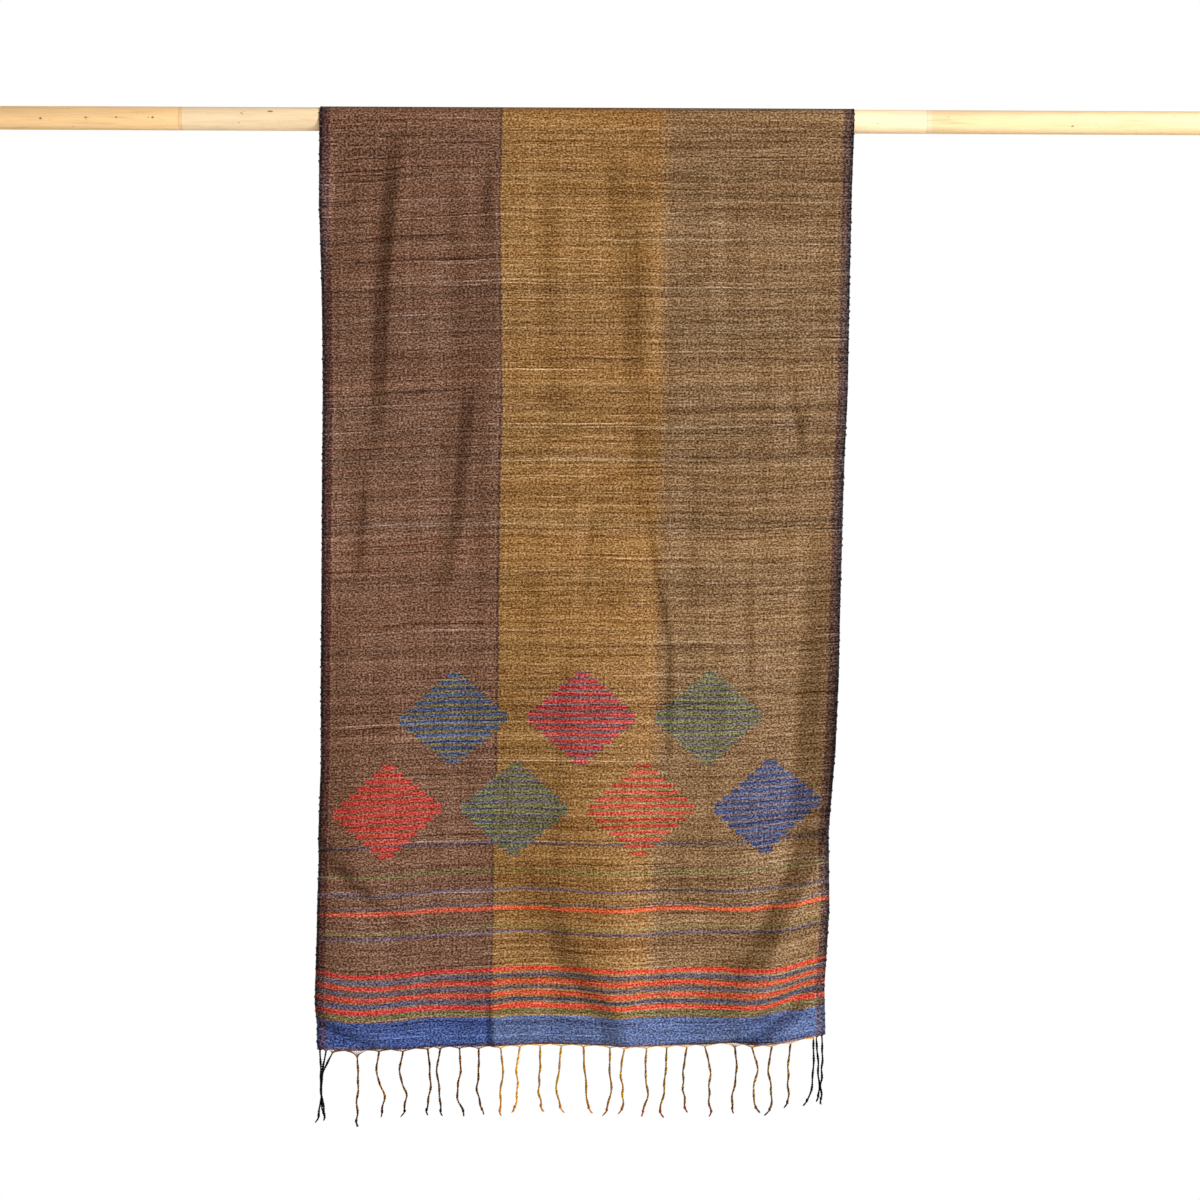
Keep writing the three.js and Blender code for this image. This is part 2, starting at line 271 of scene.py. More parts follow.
class Finish(Steps):
    """A material, mixed in small steps."""

    def __init__(self, name):
        self.material = bpy.data.materials.new(name)
        self.material.use_nodes = True
        super().__init__(self.material.node_tree)

    def set(self, **values):
        """Set or feed the shader's own sockets; an underscore in a name stands for a space."""
        for name, value in values.items():
            self.feed(self.tree.nodes["Principled BSDF"].inputs[name.replace("_", " ")], value)

    def attribute(self, name, output="Fac"):
        return self.step("ShaderNodeAttribute", {}, output, attribute_name=name)

    def parts(self, vector):
        """The X, Y and Z of a vector."""
        return list(self.step("ShaderNodeSeparateXYZ", {0: vector}).node.outputs)

    def joined(self, x, y, z=0.0):
        return self.step("ShaderNodeCombineXYZ", {0: x, 1: y, 2: z})

    def noise(self, vector, across, along, detail=2.0, up=1.0):
        """Cloudy noise from 0 to 1, whose clouds are about this many millimetres across and along."""
        place = self.vector("MULTIPLY", vector, (1 / (across * MM), 1 / (along * MM), 1 / (up * MM)))
        return self.step("ShaderNodeTexNoise", {"Vector": place, "Scale": 1.0, "Detail": detail})

    def spread(self, value, low, high, to_low=0.0, to_high=1.0):
        """A value between low and high, mapped smoothly to another range and held at its ends."""
        inputs = {"Value": value, "From Min": low, "From Max": high, "To Min": to_low, "To Max": to_high}
        return self.step("ShaderNodeMapRange", inputs, interpolation_type="SMOOTHSTEP")

    def ramp(self, value, stops, interpolation="LINEAR"):
        """The colour and the cover of a ramp whose stops are (place, colour), from 0 to 1."""
        node = self.step("ShaderNodeValToRGB", {0: value}).node
        elements = node.color_ramp.elements
        node.color_ramp.interpolation = interpolation
        while len(elements) > 1:
            elements.remove(elements[0])
        elements[0].position, elements[0].color = stops[0]
        for place, colour in stops[1:]:
            elements.new(place).color = colour
        return node.outputs["Color"], node.outputs["Alpha"]

    def lump(self, vector, wide, high, levels):
        """Noise that swings by this many of a chart's levels to either side of nothing."""
        swing = levels / LEVELS
        return self.spread(self.noise(vector, wide, high, 1.0), *CLOUD_LIMITS, -swing, swing)

    def cloud(self, vector, wide, high, limits, low, top, detail=2.0):
        """Cloudy noise of one size, between two limits, as a value from low to top."""
        return self.spread(self.noise(vector, wide, high, detail), *limits, low, top)

    def shifted(self, vector, by):
        """The same places, moved to another part of the noise."""
        return self.vector("ADD", vector, (by, by, 0))

    def lifted(self, colour, by):
        """A colour made paler or deeper by an equal step in every channel, as the eye counts steps."""
        seen = self.step("ShaderNodeGamma", {"Color": colour, "Gamma": 1 / EYE_GAMMA})
        moved = self.vector("ADD", seen, self.joined(*(self.times(by, part) for part in LIFT_BALANCE)))
        held = self.vector("MAXIMUM", moved, DARKEST)
        return self.step("ShaderNodeGamma", {"Color": held, "Gamma": EYE_GAMMA})

    def shaded(self, colour, value):
        """A colour made lighter or darker by a factor."""
        return self.mix(1.0, colour, self.joined(value, value, value), "MULTIPLY")

    def bump(self, strength, distance, height):
        inputs = {"Strength": strength, "Distance": distance * MM, "Height": height}
        return self.step("ShaderNodeBump", inputs, "Normal")


paper = Finish("floor paper")
paper.set(Base_Color=dye(244, 243, 240), Roughness=0.9)
floor.data.materials.append(paper.material)
print("finish helper ready")

# %% [markdown]
# ## The folds
#
# Thin silk over a rod hangs in two kinds of fold. Broad waves open towards the hem. Above them the cloth
# keeps the memory of how it was folded away: narrow pleats that sink gently on one side, climb back on the
# other and end in a crisp line, where the eye sees a dark streak. A simulation gives folds, but not chosen
# ones. So each wave and each pleat is a row of a table, as a draper would chalk it.

# %% Table of waves
def rows(kind, *lines):
    return [kind(*line) for line in lines]


# A crest's place across and how far it drifts, its flanks, how far it stands out, where it starts and
# where it is full.
Wave = namedtuple("Wave", "across drift left right out start full")
FRONT_WAVES = rows(
    Wave,
    (40, -26, 42, 50, 21, 300, 860), (235, 62, 44, 40, 22, 300, 830), (405, 34, 38, 34, 19, 250, 840),
    (516, 0, 26, 26, -20, 560, 850), (-14, 0, 26, 26, -7, 450, 640), (-10, 0, 30, 44, 12, 700, 850),
)
BACK_WAVES = rows(
    Wave,
    (76, 8, 38, 38, 28, 120, 780), (255, -22, 38, 38, 30, 160, 800), (420, 4, 36, 36, 29, 100, 780),
)
print(len(FRONT_WAVES + BACK_WAVES), "waves")

# %% Table of pleats
Pleat = namedtuple("Pleat", "width lead line")  # how wide it climbs and sinks, and its crisp line


def chalk(width, lead, *line):
    """A pleat along a line of marks: how far down, where across, and how deep."""
    return Pleat(width, lead, line)


FRONT_PLEATS = [
    # plum, upper half
    chalk(60, 14, (6, 78, 0), (53, 76, 15), (95, 71, 15), (151, 65, 13), (198, 62, 9), (264, 60, 0)),
    chalk(15, 20, (6, 80, 0), (39, 77, 4), (95, 71, 6.5), (151, 65, 7), (230, 61, 7), (283, 59, 6),
          (325, 56, 0)),
    chalk(8, 12, (320, 46, 0), (358, 44, 2.2), (405, 40, 2.2), (452, 33, 0)),
    chalk(6, 8, (247, 15, 0), (271, 20, 2.4), (305, 26, 1.4), (324, 28, 0)),
    chalk(40, 60, (33, 163, 0), (80, 165, 6), (130, 167, 8), (174, 168, 9), (240, 165, 8), (275, 161, 5),
          (306, 155, 0)),
    chalk(9, 14, (38, 165, 0), (57, 164, 3), (85, 163, 3.4), (113, 165, 0)),
    chalk(13, 42, (240, 147, 0), (272, 144, 7), (324, 140, 8), (371, 138, 6), (409, 132, 3.4),
          (446, 124, 0)),
    # gold
    chalk(20, 45, (29, 222, 0), (67, 223, 3), (109, 230, 3), (175, 234, 4), (279, 235, 5.4), (316, 229, 0)),
    chalk(22, 48, (15, 289, 0), (53, 292, 5), (100, 300, 6), (156, 306, 6), (222, 307, 7.5), (265, 306, 0)),
    chalk(26, 40, (268, 320, 0), (311, 325, 9), (345, 322, 0)),
    chalk(6, 12, (330, 308, 0), (401, 322, 2.4), (448, 331, 2.6), (495, 340, 3.4), (551, 341, 3.6),
          (646, 341, 0)),
    chalk(6, 10, (359, 267, 0), (382, 263, 2.2), (439, 258, 2.2), (500, 255, 0)),
    # taupe, and the right margin
    chalk(6, 8, (251, 450, 0), (270, 455, 3), (304, 463, 3.4), (318, 466, 0)),
    chalk(5, 6, (259, 466, 0), (280, 464, 2.4), (299, 463, 0)),
    chalk(8, 14, (402, 415, 0), (439, 417, 2.4), (515, 420, 2.4), (562, 422, 0)),
    chalk(38, 55, (370, 500, 0), (433, 501, 9), (519, 500, 17), (577, 500, 21), (634, 500, 22),
          (680, 498, 20), (725, 494, 0)),
    chalk(27, 30, (640, 505, 0), (673, 500, 9), (696, 494, 16), (716, 482, 19), (741, 467, 19),
          (758, 457, 18), (779, 447, 14), (815, 425, 0)),
    # slanting ones near the hem
    chalk(24, 35, (683, 226, 0), (721, 232, 4), (768, 248, 8), (805, 277, 10), (843, 299, 9),
          (876, 308, 7)),
    chalk(16, 20, (664, 8, 0), (688, 22, 8), (714, 50, 10), (740, 80, 8.5), (762, 104, 0)),
    chalk(16, 14, (826, 2, 0), (840, 14, 8), (850, 34, 13), (860, 60, 13), (872, 95, 9)),
    chalk(24, 20, (800, 512, 0), (820, 502, 18), (838, 484, 23), (854, 460, 21), (870, 424, 15)),
    chalk(7, 14, (702, 339, 0), (740, 339, 2.2), (834, 344, 2.6), (876, 343, 2.2)),
    chalk(20, 24, (740, 166, 0), (790, 168, 3), (850, 168, 4), (878, 168, 3)),
    chalk(5, 6, (800, 172, 0), (848, 171, 3.6), (881, 170, 5)),
]

BACK_PLEATS = [
    chalk(15, 18, (12, 132, 0), (60, 130, 4), (180, 122, 5.5), (330, 112, 4), (450, 108, 0)),
    chalk(8, 12, (90, 205, 0), (180, 210, 1.8), (300, 218, 1.6), (400, 222, 0)),
    chalk(18, 22, (20, 352, 0), (90, 348, 4.5), (240, 338, 6), (400, 328, 4), (500, 322, 0)),
    chalk(6, 10, (260, 440, 0), (340, 436, 1.8), (440, 430, 1.6), (520, 428, 0)),
    chalk(24, 30, (520, 150, 0), (610, 158, 5), (700, 176, 9), (790, 200, 8)),
    chalk(18, 24, (560, 322, 0), (650, 330, 5), (740, 352, 7), (790, 366, 6)),
    chalk(12, 16, (600, 470, 0), (680, 462, 5), (760, 440, 5), (790, 430, 3)),
]

# Level creases from when the cloth lay folded as a parcel, between two places across.
Parcel = namedtuple("Parcel", "down left right out width sag")
FRONT_PARCELS = [Parcel(311, -40, 540, -1.3, 4.5, 0), Parcel(344, 190, 360, -1.0, 4.0, 6)]
BACK_PARCELS = [Parcel(268, -40, 540, -1.2, 4.5, 0), Parcel(530, 60, 420, -1.0, 4.5, 4)]

STAND_OFF = (4, 90)  # how far the cloth stands off its tangent to the rod, and how far down in full
print(len(FRONT_PLEATS + BACK_PLEATS), "pleats and", len(FRONT_PARCELS + BACK_PARCELS), "level creases")

# %% [markdown]
# A cloth that waves in depth gets narrower from side to side, and its weft threads no longer run level.
# Three more tables hold that: where the two selvedges hang at each height, how far the weft sags at the
# left and lifts at the right, and where it dips or rises near the hem.

# %% Table of edges
Edge = namedtuple("Edge", "down left right")
FRONT_EDGES = rows(
    Edge,
    (0, -250, 250), (70, -251, 247.5), (145, -248.5, 246), (260, -245.5, 244.5), (370, -245.5, 239.5),
    (525, -245.5, 237.5), (600, -245, 234.5), (675, -247, 229), (750, -247, 230.5), (825, -247.5, 226.5),
    (866, -244.5, 227.5),
)
BACK_EDGES = [Edge(0, -250, 250), Edge(260, -246, 246), Edge(525, -244, 240), Edge(786, -240, 226)]

Skew = namedtuple("Skew", "down left_sag right_lift")
SKEW = rows(
    Skew,
    (0, 0, 0), (45, 9, 0), (390, 8, 4), (620, 6, 8), (770, 5, 10), (866, -1, 8),
)
SKEW_REACH = (190, 120)  # how far in from the left and from the right selvedge it is seen
SKEW_CURVE = 1.4

Dip = namedtuple("Dip", "across half sag start full")  # the weft hangs lower, or higher, around one place
FRONT_DIPS = rows(
    Dip,
    (62, 60, 3.4, 640, 800), (62, 28, 2.2, 640, 740), (0, 14, -3.4, 750, 811), (0, 14, 3.4, 815, 862),
    (157, 28, 2.8, 680, 811), (296, 30, 1.8, 640, 740), (296, 40, -2.2, 815, 862), (438, 27, 3.6, 640, 740),
    (438, 27, -3.2, 815, 862),
)

# One side of the scarf. It hangs before the rod where towards is -1, and behind it where it is 1.
Fall = namedtuple("Fall", "waves pleats parcels dips edges towards drop")
FRONT = Fall(FRONT_WAVES, FRONT_PLEATS, FRONT_PARCELS, FRONT_DIPS, FRONT_EDGES, -1, FRONT_DROP)
BACK = Fall(BACK_WAVES, BACK_PLEATS, BACK_PARCELS, [], BACK_EDGES, 1, BACK_DROP)
print(f"the front hem hangs {FRONT_EDGES[-1].right - FRONT_EDGES[-1].left:.0f} mm wide")

# %% Shapes of the folds
RIPPLES = 14
RIPPLE_HEIGHT = 0.14
FADE_FROM = 0.6  # of a level crease's half length
chance = np.random.default_rng(11)
ripple_across = chance.uniform(0.05, 0.22, RIPPLES)
ripple_down = chance.uniform(-0.035, 0.035, RIPPLES)
ripple_start = chance.uniform(0, 2 * math.pi, RIPPLES)


def smoothstep(value, low, high):
    t = np.clip((value - low) / (high - low), 0, 1)
    return t * t * (3 - 2 * t)


def bell(distance, width):
    return np.exp(-0.5 * (distance / width) ** 2)


def wave_out(wave, drop, across, down):
    """How far one broad wave stands out at some places across, this far down."""
    travelled = np.clip((down - wave.start) / (drop - wave.start), 0, 1)
    from_crest = across - wave.across - wave.drift * travelled
    flank = np.where(from_crest < 0, wave.left, wave.right)
    return wave.out * smoothstep(down, wave.start, wave.full) * bell(from_crest, flank)


def pleat_out(pleat, across, down):
    """A pleat sinks softly from the left, climbs evenly over its width and stops at its crisp line."""
    downs, places, depths = zip(*pleat.line)
    from_line = across - np.interp(down, downs, places)
    climb = np.clip(-from_line / pleat.width, 0, 1)
    sink = bell(np.minimum(from_line + pleat.width, 0), pleat.lead)
    return -np.interp(down, downs, depths, left=0, right=0) * climb * sink


def parcel_out(parcel, across, down):
    """How far a level crease stands out; it fades over its last stretch at both ends."""
    middle = (parcel.left + parcel.right) / 2
    half = (parcel.right - parcel.left) / 2
    fade = 1 - smoothstep(np.abs(across - middle), half * FADE_FROM, half)
    sagged = parcel.down + parcel.sag * (1 - ((across - middle) / half) ** 2)
    return parcel.out * fade * bell(down - sagged, parcel.width)


def stands_out(fall, across, down):
    """How far the cloth stands out from its tangent to the rod, folds and fine ripples together."""
    depth, reach = STAND_OFF
    out = depth * smoothstep(down, 0, reach) + np.zeros_like(across)
    for wave in fall.waves:
        out += wave_out(wave, fall.drop, across, down)
    for pleat in fall.pleats:
        out += pleat_out(pleat, across, down)
    for parcel in fall.parcels:
        out += parcel_out(parcel, across, down)
    waves = np.sin(np.outer(across, ripple_across) + down * ripple_down + ripple_start)
    return out + RIPPLE_HEIGHT * smoothstep(down, 0, reach) * waves.sum(axis=1)


hem_out = stands_out(FRONT, np.linspace(0, WIDTH, 101), FRONT_DROP)
print(f"the front hem waves by {hem_out.max() - hem_out.min():.0f} mm")

# %% Bend a row of cloth
def section_value(table, column, down):
    """A column's value this far down, between the rows of a table."""
    return np.interp(down, [row.down for row in table], [getattr(row, column) for row in table])


def skew_down(fall, across, down):
    """How far the weft hangs below level."""
    near_left = np.clip(1 - across / SKEW_REACH[0], 0, 1) ** SKEW_CURVE
    near_right = np.clip(1 - (WIDTH - across) / SKEW_REACH[1], 0, 1) ** SKEW_CURVE
    sag = section_value(SKEW, "left_sag", down)
    lift = section_value(SKEW, "right_lift", down)
    skew = sag * near_left - lift * near_right
    for dip in fall.dips:
        grown = dip.sag * smoothstep(down, dip.start, dip.full)
        skew = skew + grown * bell(across - dip.across, dip.half)
    return skew


def bend_row(fall, down, across):
    """The places, in millimetres, of points across one row of cloth."""
    left = section_value(fall.edges, "left", down)
    right = section_value(fall.edges, "right", down)
    x = left + across / WIDTH * (right - left)
    y = fall.towards * (TURN_RADIUS + stands_out(fall, across, down))
    return np.stack([x, y, -down - skew_down(fall, across, down)], axis=1)


print("hem's corners in mm:", bend_row(FRONT, FRONT_DROP, np.array([0.0, WIDTH])).round(1).tolist())

# %% [markdown]
# ## The cloth
#
# The whole scarf is one sheet: a grid of points that climbs from the front hem, goes half round the rod
# and runs down the back. A mesh attribute keeps every point's place in the flat cloth, so that stripes and
# threads follow the weave through every fold. Solidify then gives the sheet the thickness of raw silk.

# %% Weave the sheet
COLUMNS = 216
FRONT_ROWS = 130
TURN_ROWS = 12
BACK_ROWS = 74
ATTRIBUTE = "woven"  # a point's place across and along the flat cloth


def sheet_rows():
    """Every row of the sheet: its distance along the cloth from the front hem, and its points."""
    across = np.linspace(0, WIDTH, COLUMNS + 1)
    for down in np.linspace(FRONT_DROP, 0, FRONT_ROWS + 1):
        yield FRONT_DROP - down, bend_row(FRONT, down, across)
    for angle in np.linspace(0, math.pi, TURN_ROWS + 1)[1:-1]:
        level = np.full_like(across, TURN_RADIUS)
        row = [across - WIDTH / 2, -level * math.cos(angle), level * math.sin(angle)]
        yield FRONT_DROP + TURN_RADIUS * angle, np.stack(row, axis=1)
    for down in np.linspace(0, BACK_DROP, BACK_ROWS + 1):
        yield FRONT_DROP + TURN_LENGTH + down, bend_row(BACK, down, across)


def flat_places(across, along):
    """The places in the flat cloth of many points; either value may be one for all."""
    across, along = np.broadcast_arrays(across, along)
    return np.stack([across, along, np.zeros(across.shape)], axis=1)


def remember_place(made, places):
    """Store a point's place across and along the flat cloth, in metres, as a mesh attribute."""
    stored = made.data.attributes.new(ATTRIBUTE, "FLOAT_VECTOR", "POINT")
    stored.data.foreach_set("vector", (np.asarray(places, dtype=float) * MM).ravel())


def finish_mesh(made):
    """Turn a piece's modifiers into a plain mesh, and smooth it."""
    ready = made.evaluated_get(bpy.context.evaluated_depsgraph_get())
    mesh = bpy.data.meshes.new_from_object(ready)
    mesh.name = made.name
    mesh.materials.clear()
    made.modifiers.clear()
    made.data = mesh
    mesh.polygons.foreach_set("use_smooth", [True] * len(mesh.polygons))
    mesh.update()
    return made


along_rows, point_rows = zip(*sheet_rows())
points = np.array(point_rows)
count = COLUMNS + 1
corner = np.add.outer(np.arange(len(points) - 1) * count, np.arange(COLUMNS)).ravel()
quads = np.stack([corner, corner + 1, corner + count + 1, corner + count], axis=1)
cloth = plain_mesh("silk_cloth", points.reshape(-1, 3) * MM, quads)
across_flat, along_flat = np.meshgrid(np.linspace(0, WIDTH, count), along_rows)
remember_place(cloth, flat_places(across_flat.ravel(), along_flat.ravel()))

thick = cloth.modifiers.new("silk", "SOLIDIFY")
thick.thickness = SILK_THICK * MM
thick.offset = 0
finish_mesh(cloth)
print("the cloth has", len(cloth.data.polygons), "faces")

# %% [markdown]
# ## The weave
#
# Raw silk is never even: each weft thread swells and thins, and one skein is a little lighter than the
# next, which gives light and dark dashes across the cloth. The warp is dyed in broad bands, plum, gold and
# taupe, with a narrow dark selvedge at each side, and it shows through every weft. So the finish is built
# the way that the cloth is: the warp bands, the dashes of the ground weft, then the coloured wefts.

# %% Colours and stripes of the cloth
# Bands of warp, by where each ends, from the left selvedge on.
WARP = shades(
    (2.2, 28, 13, 12), (9.4, 74, 40, 30), (10.8, 120, 84, 66), (168.6, 105, 73, 53), (170.4, 72, 46, 32),
    (322, 133, 97, 49), (328, 129, 96, 57), (489.5, 118, 90, 57), (491.6, 110, 82, 58), (497.6, 78, 52, 40),
    (WIDTH, 28, 16, 18),
)

# Skeins of ground weft, each paler or deeper than the next, by where it ends, from the front hem on.
Skein = namedtuple("Skein", "until tone")
SKEINS = rows(
    Skein,
    (306, 1.0), (380, 0.97), (429, 1.03), (447, 0.88), (476, 1.1), (498, 0.92), (545, 0.98), (556, 0.85),
    (614, 0.92), (636, 1.04), (716, 0.9), (859, 1.0), (874, 1.2), (CUT_LENGTH, 1.0),
)

# Full-width weft stripes: how far their middle is from the hem, and how much of the ground they cover.
Stripe = namedtuple("Stripe", "middle width colour cover")
INDIGO = (36, 62, 120)
NAVY = (46, 60, 102)
SLATE = (70, 66, 88)
POPPY = (174, 38, 36)
BRICK = (166, 44, 34)
OLIVE = (98, 94, 56)
HEM_STRIPES = rows(
    Stripe,
    (0.7, 1.6, (30, 48, 108), 0.95), (14.4, 26.2, INDIGO, 0.92), (31.6, 4.6, OLIVE, 0.8),
    (37.0, 4.2, POPPY, 0.92), (42.6, 3.6, NAVY, 0.72), (48.6, 4.0, BRICK, 0.9), (54.0, 3.6, SLATE, 0.75),
    (59.6, 4.0, BRICK, 0.9), (65.4, 3.8, SLATE, 0.85), (71.4, 3.8, POPPY, 0.9),
)
SINGLE_STRIPES = rows(
    Stripe,
    (105.5, 3.2, SLATE, 0.7), (110.8, 2.4, (92, 102, 54), 0.45), (128.2, 3.8, (170, 62, 36), 0.85),
    (132.6, 2.2, SLATE, 0.6), (145.2, 3.0, SLATE, 0.7), (162.0, 2.6, (96, 110, 54), 0.5),
    (187.8, 2.8, SLATE, 0.6),
)
print(len(HEM_STRIPES) + len(SINGLE_STRIPES), "weft stripes at each hem")

# %% Lay in the warp bands and the stripes
EDGE_BLUR = 0.5  # over how many millimetres one thread's colour gives way to the next


def band_stops(ends, colours):
    """Ramp stops for colours side by side, by where each ends."""
    stops = []
    start = 0
    for end, colour in zip(ends, colours):
        stops.append(((start + EDGE_BLUR) / ends[-1], colour))
        stops.append(((end - EDGE_BLUR) / ends[-1], colour))
        start = end
    return stops


def stripe_stops(stripes, low, high):
    """Ramp stops for stripes on bare ground, between two distances from the hem."""
    stops = []
    for stripe in stripes:
        half, cover = stripe.width / 2, stripe.cover
        corners = [(-half - EDGE_BLUR, 0), (-half + EDGE_BLUR, cover), (half - EDGE_BLUR, cover), (half, 0)]
        for offset, share in corners:
            place = (stripe.middle + offset - low) / (high - low)
            if 0 <= place <= 1:
                stops.append((place, dye(*stripe.colour, share)))
    return stops


BLUE_GLOW = (0.036, 0.046, 0.046, 1.0)  # what gold and taupe warp add to a clear blue weft over them
RED_GLOW = (0.13, 0.022, 0.003, 1.0)  # and to a red one
BLUE_FROM, RED_FROM = (0.12, 0.2), (0.25, 0.35)  # how much blue or red it takes, at least and in full
GOLD_FROM = (169 * MM, 171 * MM)  # where plum warp ends and gold begins


def glow(silk, colour, across):
    """A laid-in colour, which over gold and taupe gets paler if it is blue and turns to orange if red."""
    red, _, blue = silk.parts(colour)
    over_gold = silk.spread(across, *GOLD_FROM)
    for channel, limits, added in ((blue, BLUE_FROM, BLUE_GLOW), (red, RED_FROM, RED_GLOW)):
        strong = silk.spread(channel, *limits)
        colour = silk.mix(silk.times(over_gold, strong), colour, added, "ADD")
    return colour


def lay_stripes(silk, ground, across, hem_distance, strength):
    """Cover the ground with the stripes, a few at a time, because a ramp holds no more than 32 stops."""
    for stripes in (HEM_STRIPES[:7], HEM_STRIPES[7:], SINGLE_STRIPES):
        low = stripes[0].middle - stripes[0].width
        high = stripes[-1].middle + stripes[-1].width
        place = silk.map(hem_distance, From_Min=low * MM, From_Max=high * MM)
        colour, cover = silk.ramp(place, stripe_stops(stripes, low, high))
        laid = glow(silk, colour, across)
        ground = silk.mix(silk.times(cover, strength), ground, laid)
    return ground


print(len(WARP), "bands and shades of warp from one selvedge to the other")

# %% [markdown]
# Above the stripes are small figures, laid in by hand with short lengths of coloured weft. They are plain
# stepped lozenges, the shape that comes by itself when each pick is a few threads longer or shorter than
# the last. They stand in two rows, offset like bricks, and two colours alternate from pick to pick.

# %% Lay in the lozenges
# One row: how far its middle is from the hem, how far it is moved along, where it starts and stops across
# the cloth, the colours of its picks from left to right, and those between them with what they cover.
Row = namedtuple("Row", "middle shift left right picks between covers")
LOZENGE_PITCH = 124
LOZENGE_HALF = (52, 43)  # half its width and half its height
STEP = 6.2  # from one coloured pick to the next, and the height of one step of the outline
PICK = 3.4  # how much of it the coloured pick covers
MOSS = (94, 98, 46)
LOZENGE_ROWS = [
    Row(220, 4, 4, 500, [BRICK, MOSS, BRICK, NAVY], [BRICK, NAVY, MOSS, SLATE], [0.2, 0.6, 0.5, 0.7]),
    Row(305, 66, 66, 438, [NAVY, BRICK, MOSS], [MOSS, NAVY, NAVY], [0.5, 0.5, 0.5]),
]
PICK_COVER = 0.88
PICK_BLUR = 0.4


def lay_lozenges(silk, ground, across, hem_distance, strength):
    """Cover the ground with the two rows of lozenges."""
    for row in LOZENGE_ROWS:
        shifted = silk.minus(across, (row.shift + LOZENGE_PITCH / 2) * MM)
        sideways = silk.math("PINGPONG", shifted, LOZENGE_PITCH / 2 * MM)
        upright = silk.math("ABSOLUTE", silk.minus(hem_distance, row.middle * MM))
        stepped = silk.math("SNAP", upright, STEP * MM)
        wide, high = LOZENGE_HALF
        reach = silk.add(silk.over(sideways, wide * MM), silk.over(stepped, high * MM))
        middle, half = (row.left + row.right) / 2 * MM, (row.right - row.left) / 2 * MM
        inside = silk.times(silk.math("LESS_THAN", reach, 1.0), silk.math("COMPARE", across, middle, half))
        shape = silk.times(inside, strength)
        within = silk.math("WRAP", upright, STEP * MM, 0)
        off_pick = silk.math("ABSOLUTE", silk.minus(within, STEP / 2 * MM))
        edge = [(PICK / 2 + blur) * MM for blur in (-PICK_BLUR, PICK_BLUR)]
        on_pick = silk.spread(off_pick, *edge, 1.0, 0.0)
        picks = [dye(*colour, PICK_COVER) for colour in row.picks]
        between = [dye(*colour, cover) for colour, cover in zip(row.between, row.covers)]
        place = silk.map(across, From_Min=row.left * MM, From_Max=row.right * MM)
        for dyes, part in ((between, 1.0), (picks, on_pick)):
            stops = [(i / len(dyes), colour) for i, colour in enumerate(dyes)]
            colour, cover = silk.ramp(place, stops, "CONSTANT")
            ground = silk.mix(silk.times(silk.times(shape, part), cover), ground, colour)
    return ground


print(len(LOZENGE_ROWS), "rows of lozenges")

# %% [markdown]
# What makes the silk look raw is its ground weft. Its picks differ one by one, its skeins differ as they
# follow each other, and here and there a slub is darker. A picture of it would be sharp at one size only,
# so noise does it: drawn out long across the cloth, and kept to one value for each pick.

# %% Tones of the ground weft
THREAD = 0.95  # from one warp end to the next, and from one pick to the next
PICK_PITCH = 1.05  # of the thicker picks that the eye can follow
PICK_CELL = 0.61  # smaller than the pitch, so that one pick says nothing about the next
RUNS = [(10, 10), (32, 10), (95, 9), (340, 11), (1100, 9)]  # how long a pick keeps a tone, and its levels
PALE_PICKS = [547, 577, 669, 720, 812]  # whole-width picks, by their place along from the front hem
DARK_PICKS = [632, 711, 844]
LEAN = [(0.3, dye(130, 108, 120)), (0.5, dye(128, 128, 128)), (0.7, dye(130, 124, 100))]


def pick_tones(silk, woven, across, along):
    """How far each point is lifted over the ground's tone, and the share that runs along its picks."""
    lift = silk.add(silk.lump(woven, 2.0, 1.5, 43), silk.lump(silk.shifted(woven, 3), 3, 300, 4))

    # Every pick is thick and thin by turns; its place along is one value, so its edges stay crisp.
    picked = silk.joined(across, silk.math("SNAP", along, PICK_PITCH * MM))
    runs = 0.0
    for wide, levels in RUNS:
        runs = silk.add(runs, silk.lump(silk.shifted(picked, wide), wide, PICK_CELL, levels))
    runs = silk.times(runs, silk.spread(across, 166 * MM, 174 * MM, 0.9, 1.1))
    lift = silk.times_add(runs, 0.75, lift)

    # A few whole picks are much paler or darker than the rest, and slubs leave dark flecks.
    odd = (0.66, 0.72)
    lift = silk.add(lift, silk.cloud(picked, 420, PICK_CELL, odd, 0, 36 / LEVELS, 1.0))
    lift = silk.add(lift, silk.cloud(silk.shifted(picked, 3.7), 260, PICK_CELL, odd, 0, -36 / LEVELS, 1.0))
    slubs = silk.cloud(silk.shifted(woven, 5.3), 3.4, 1.2, (0.70, 0.76), 0, -42 / LEVELS, 1.0)
    lift = silk.add(lift, slubs)
    for places, levels in ((PALE_PICKS, 30), (DARK_PICKS, -34)):
        for place in places:
            line = silk.math("COMPARE", along, place * MM, PICK_PITCH / 2 * MM)
            worn = silk.cloud(silk.shifted(woven, place), 60, 9, (0.35, 0.6), 0, levels / LEVELS)
            lift = silk.times_add(line, worn, lift)
    return lift, runs


def skein_tones(silk, woven, along):
    """How light each skein is. A ramp holds no value over 1, so it is given half of each tone."""
    ends, tones = zip(*SKEINS)
    halves = [(tone / 2, tone / 2, tone / 2, 1.0) for tone in tones]
    stepped, _ = silk.ramp(silk.over(along, CUT_LENGTH * MM), band_stops(ends, halves))
    uneven = silk.cloud(silk.shifted(woven, 6.2), 900, 12, CLOUD_LIMITS, 0.9, 1.1, 1.0)
    return silk.times(uneven, silk.times(silk.parts(stepped)[0], 2.0))


print(len(SKEINS), "skeins, and", len(PALE_PICKS + DARK_PICKS), "picks that stand out")

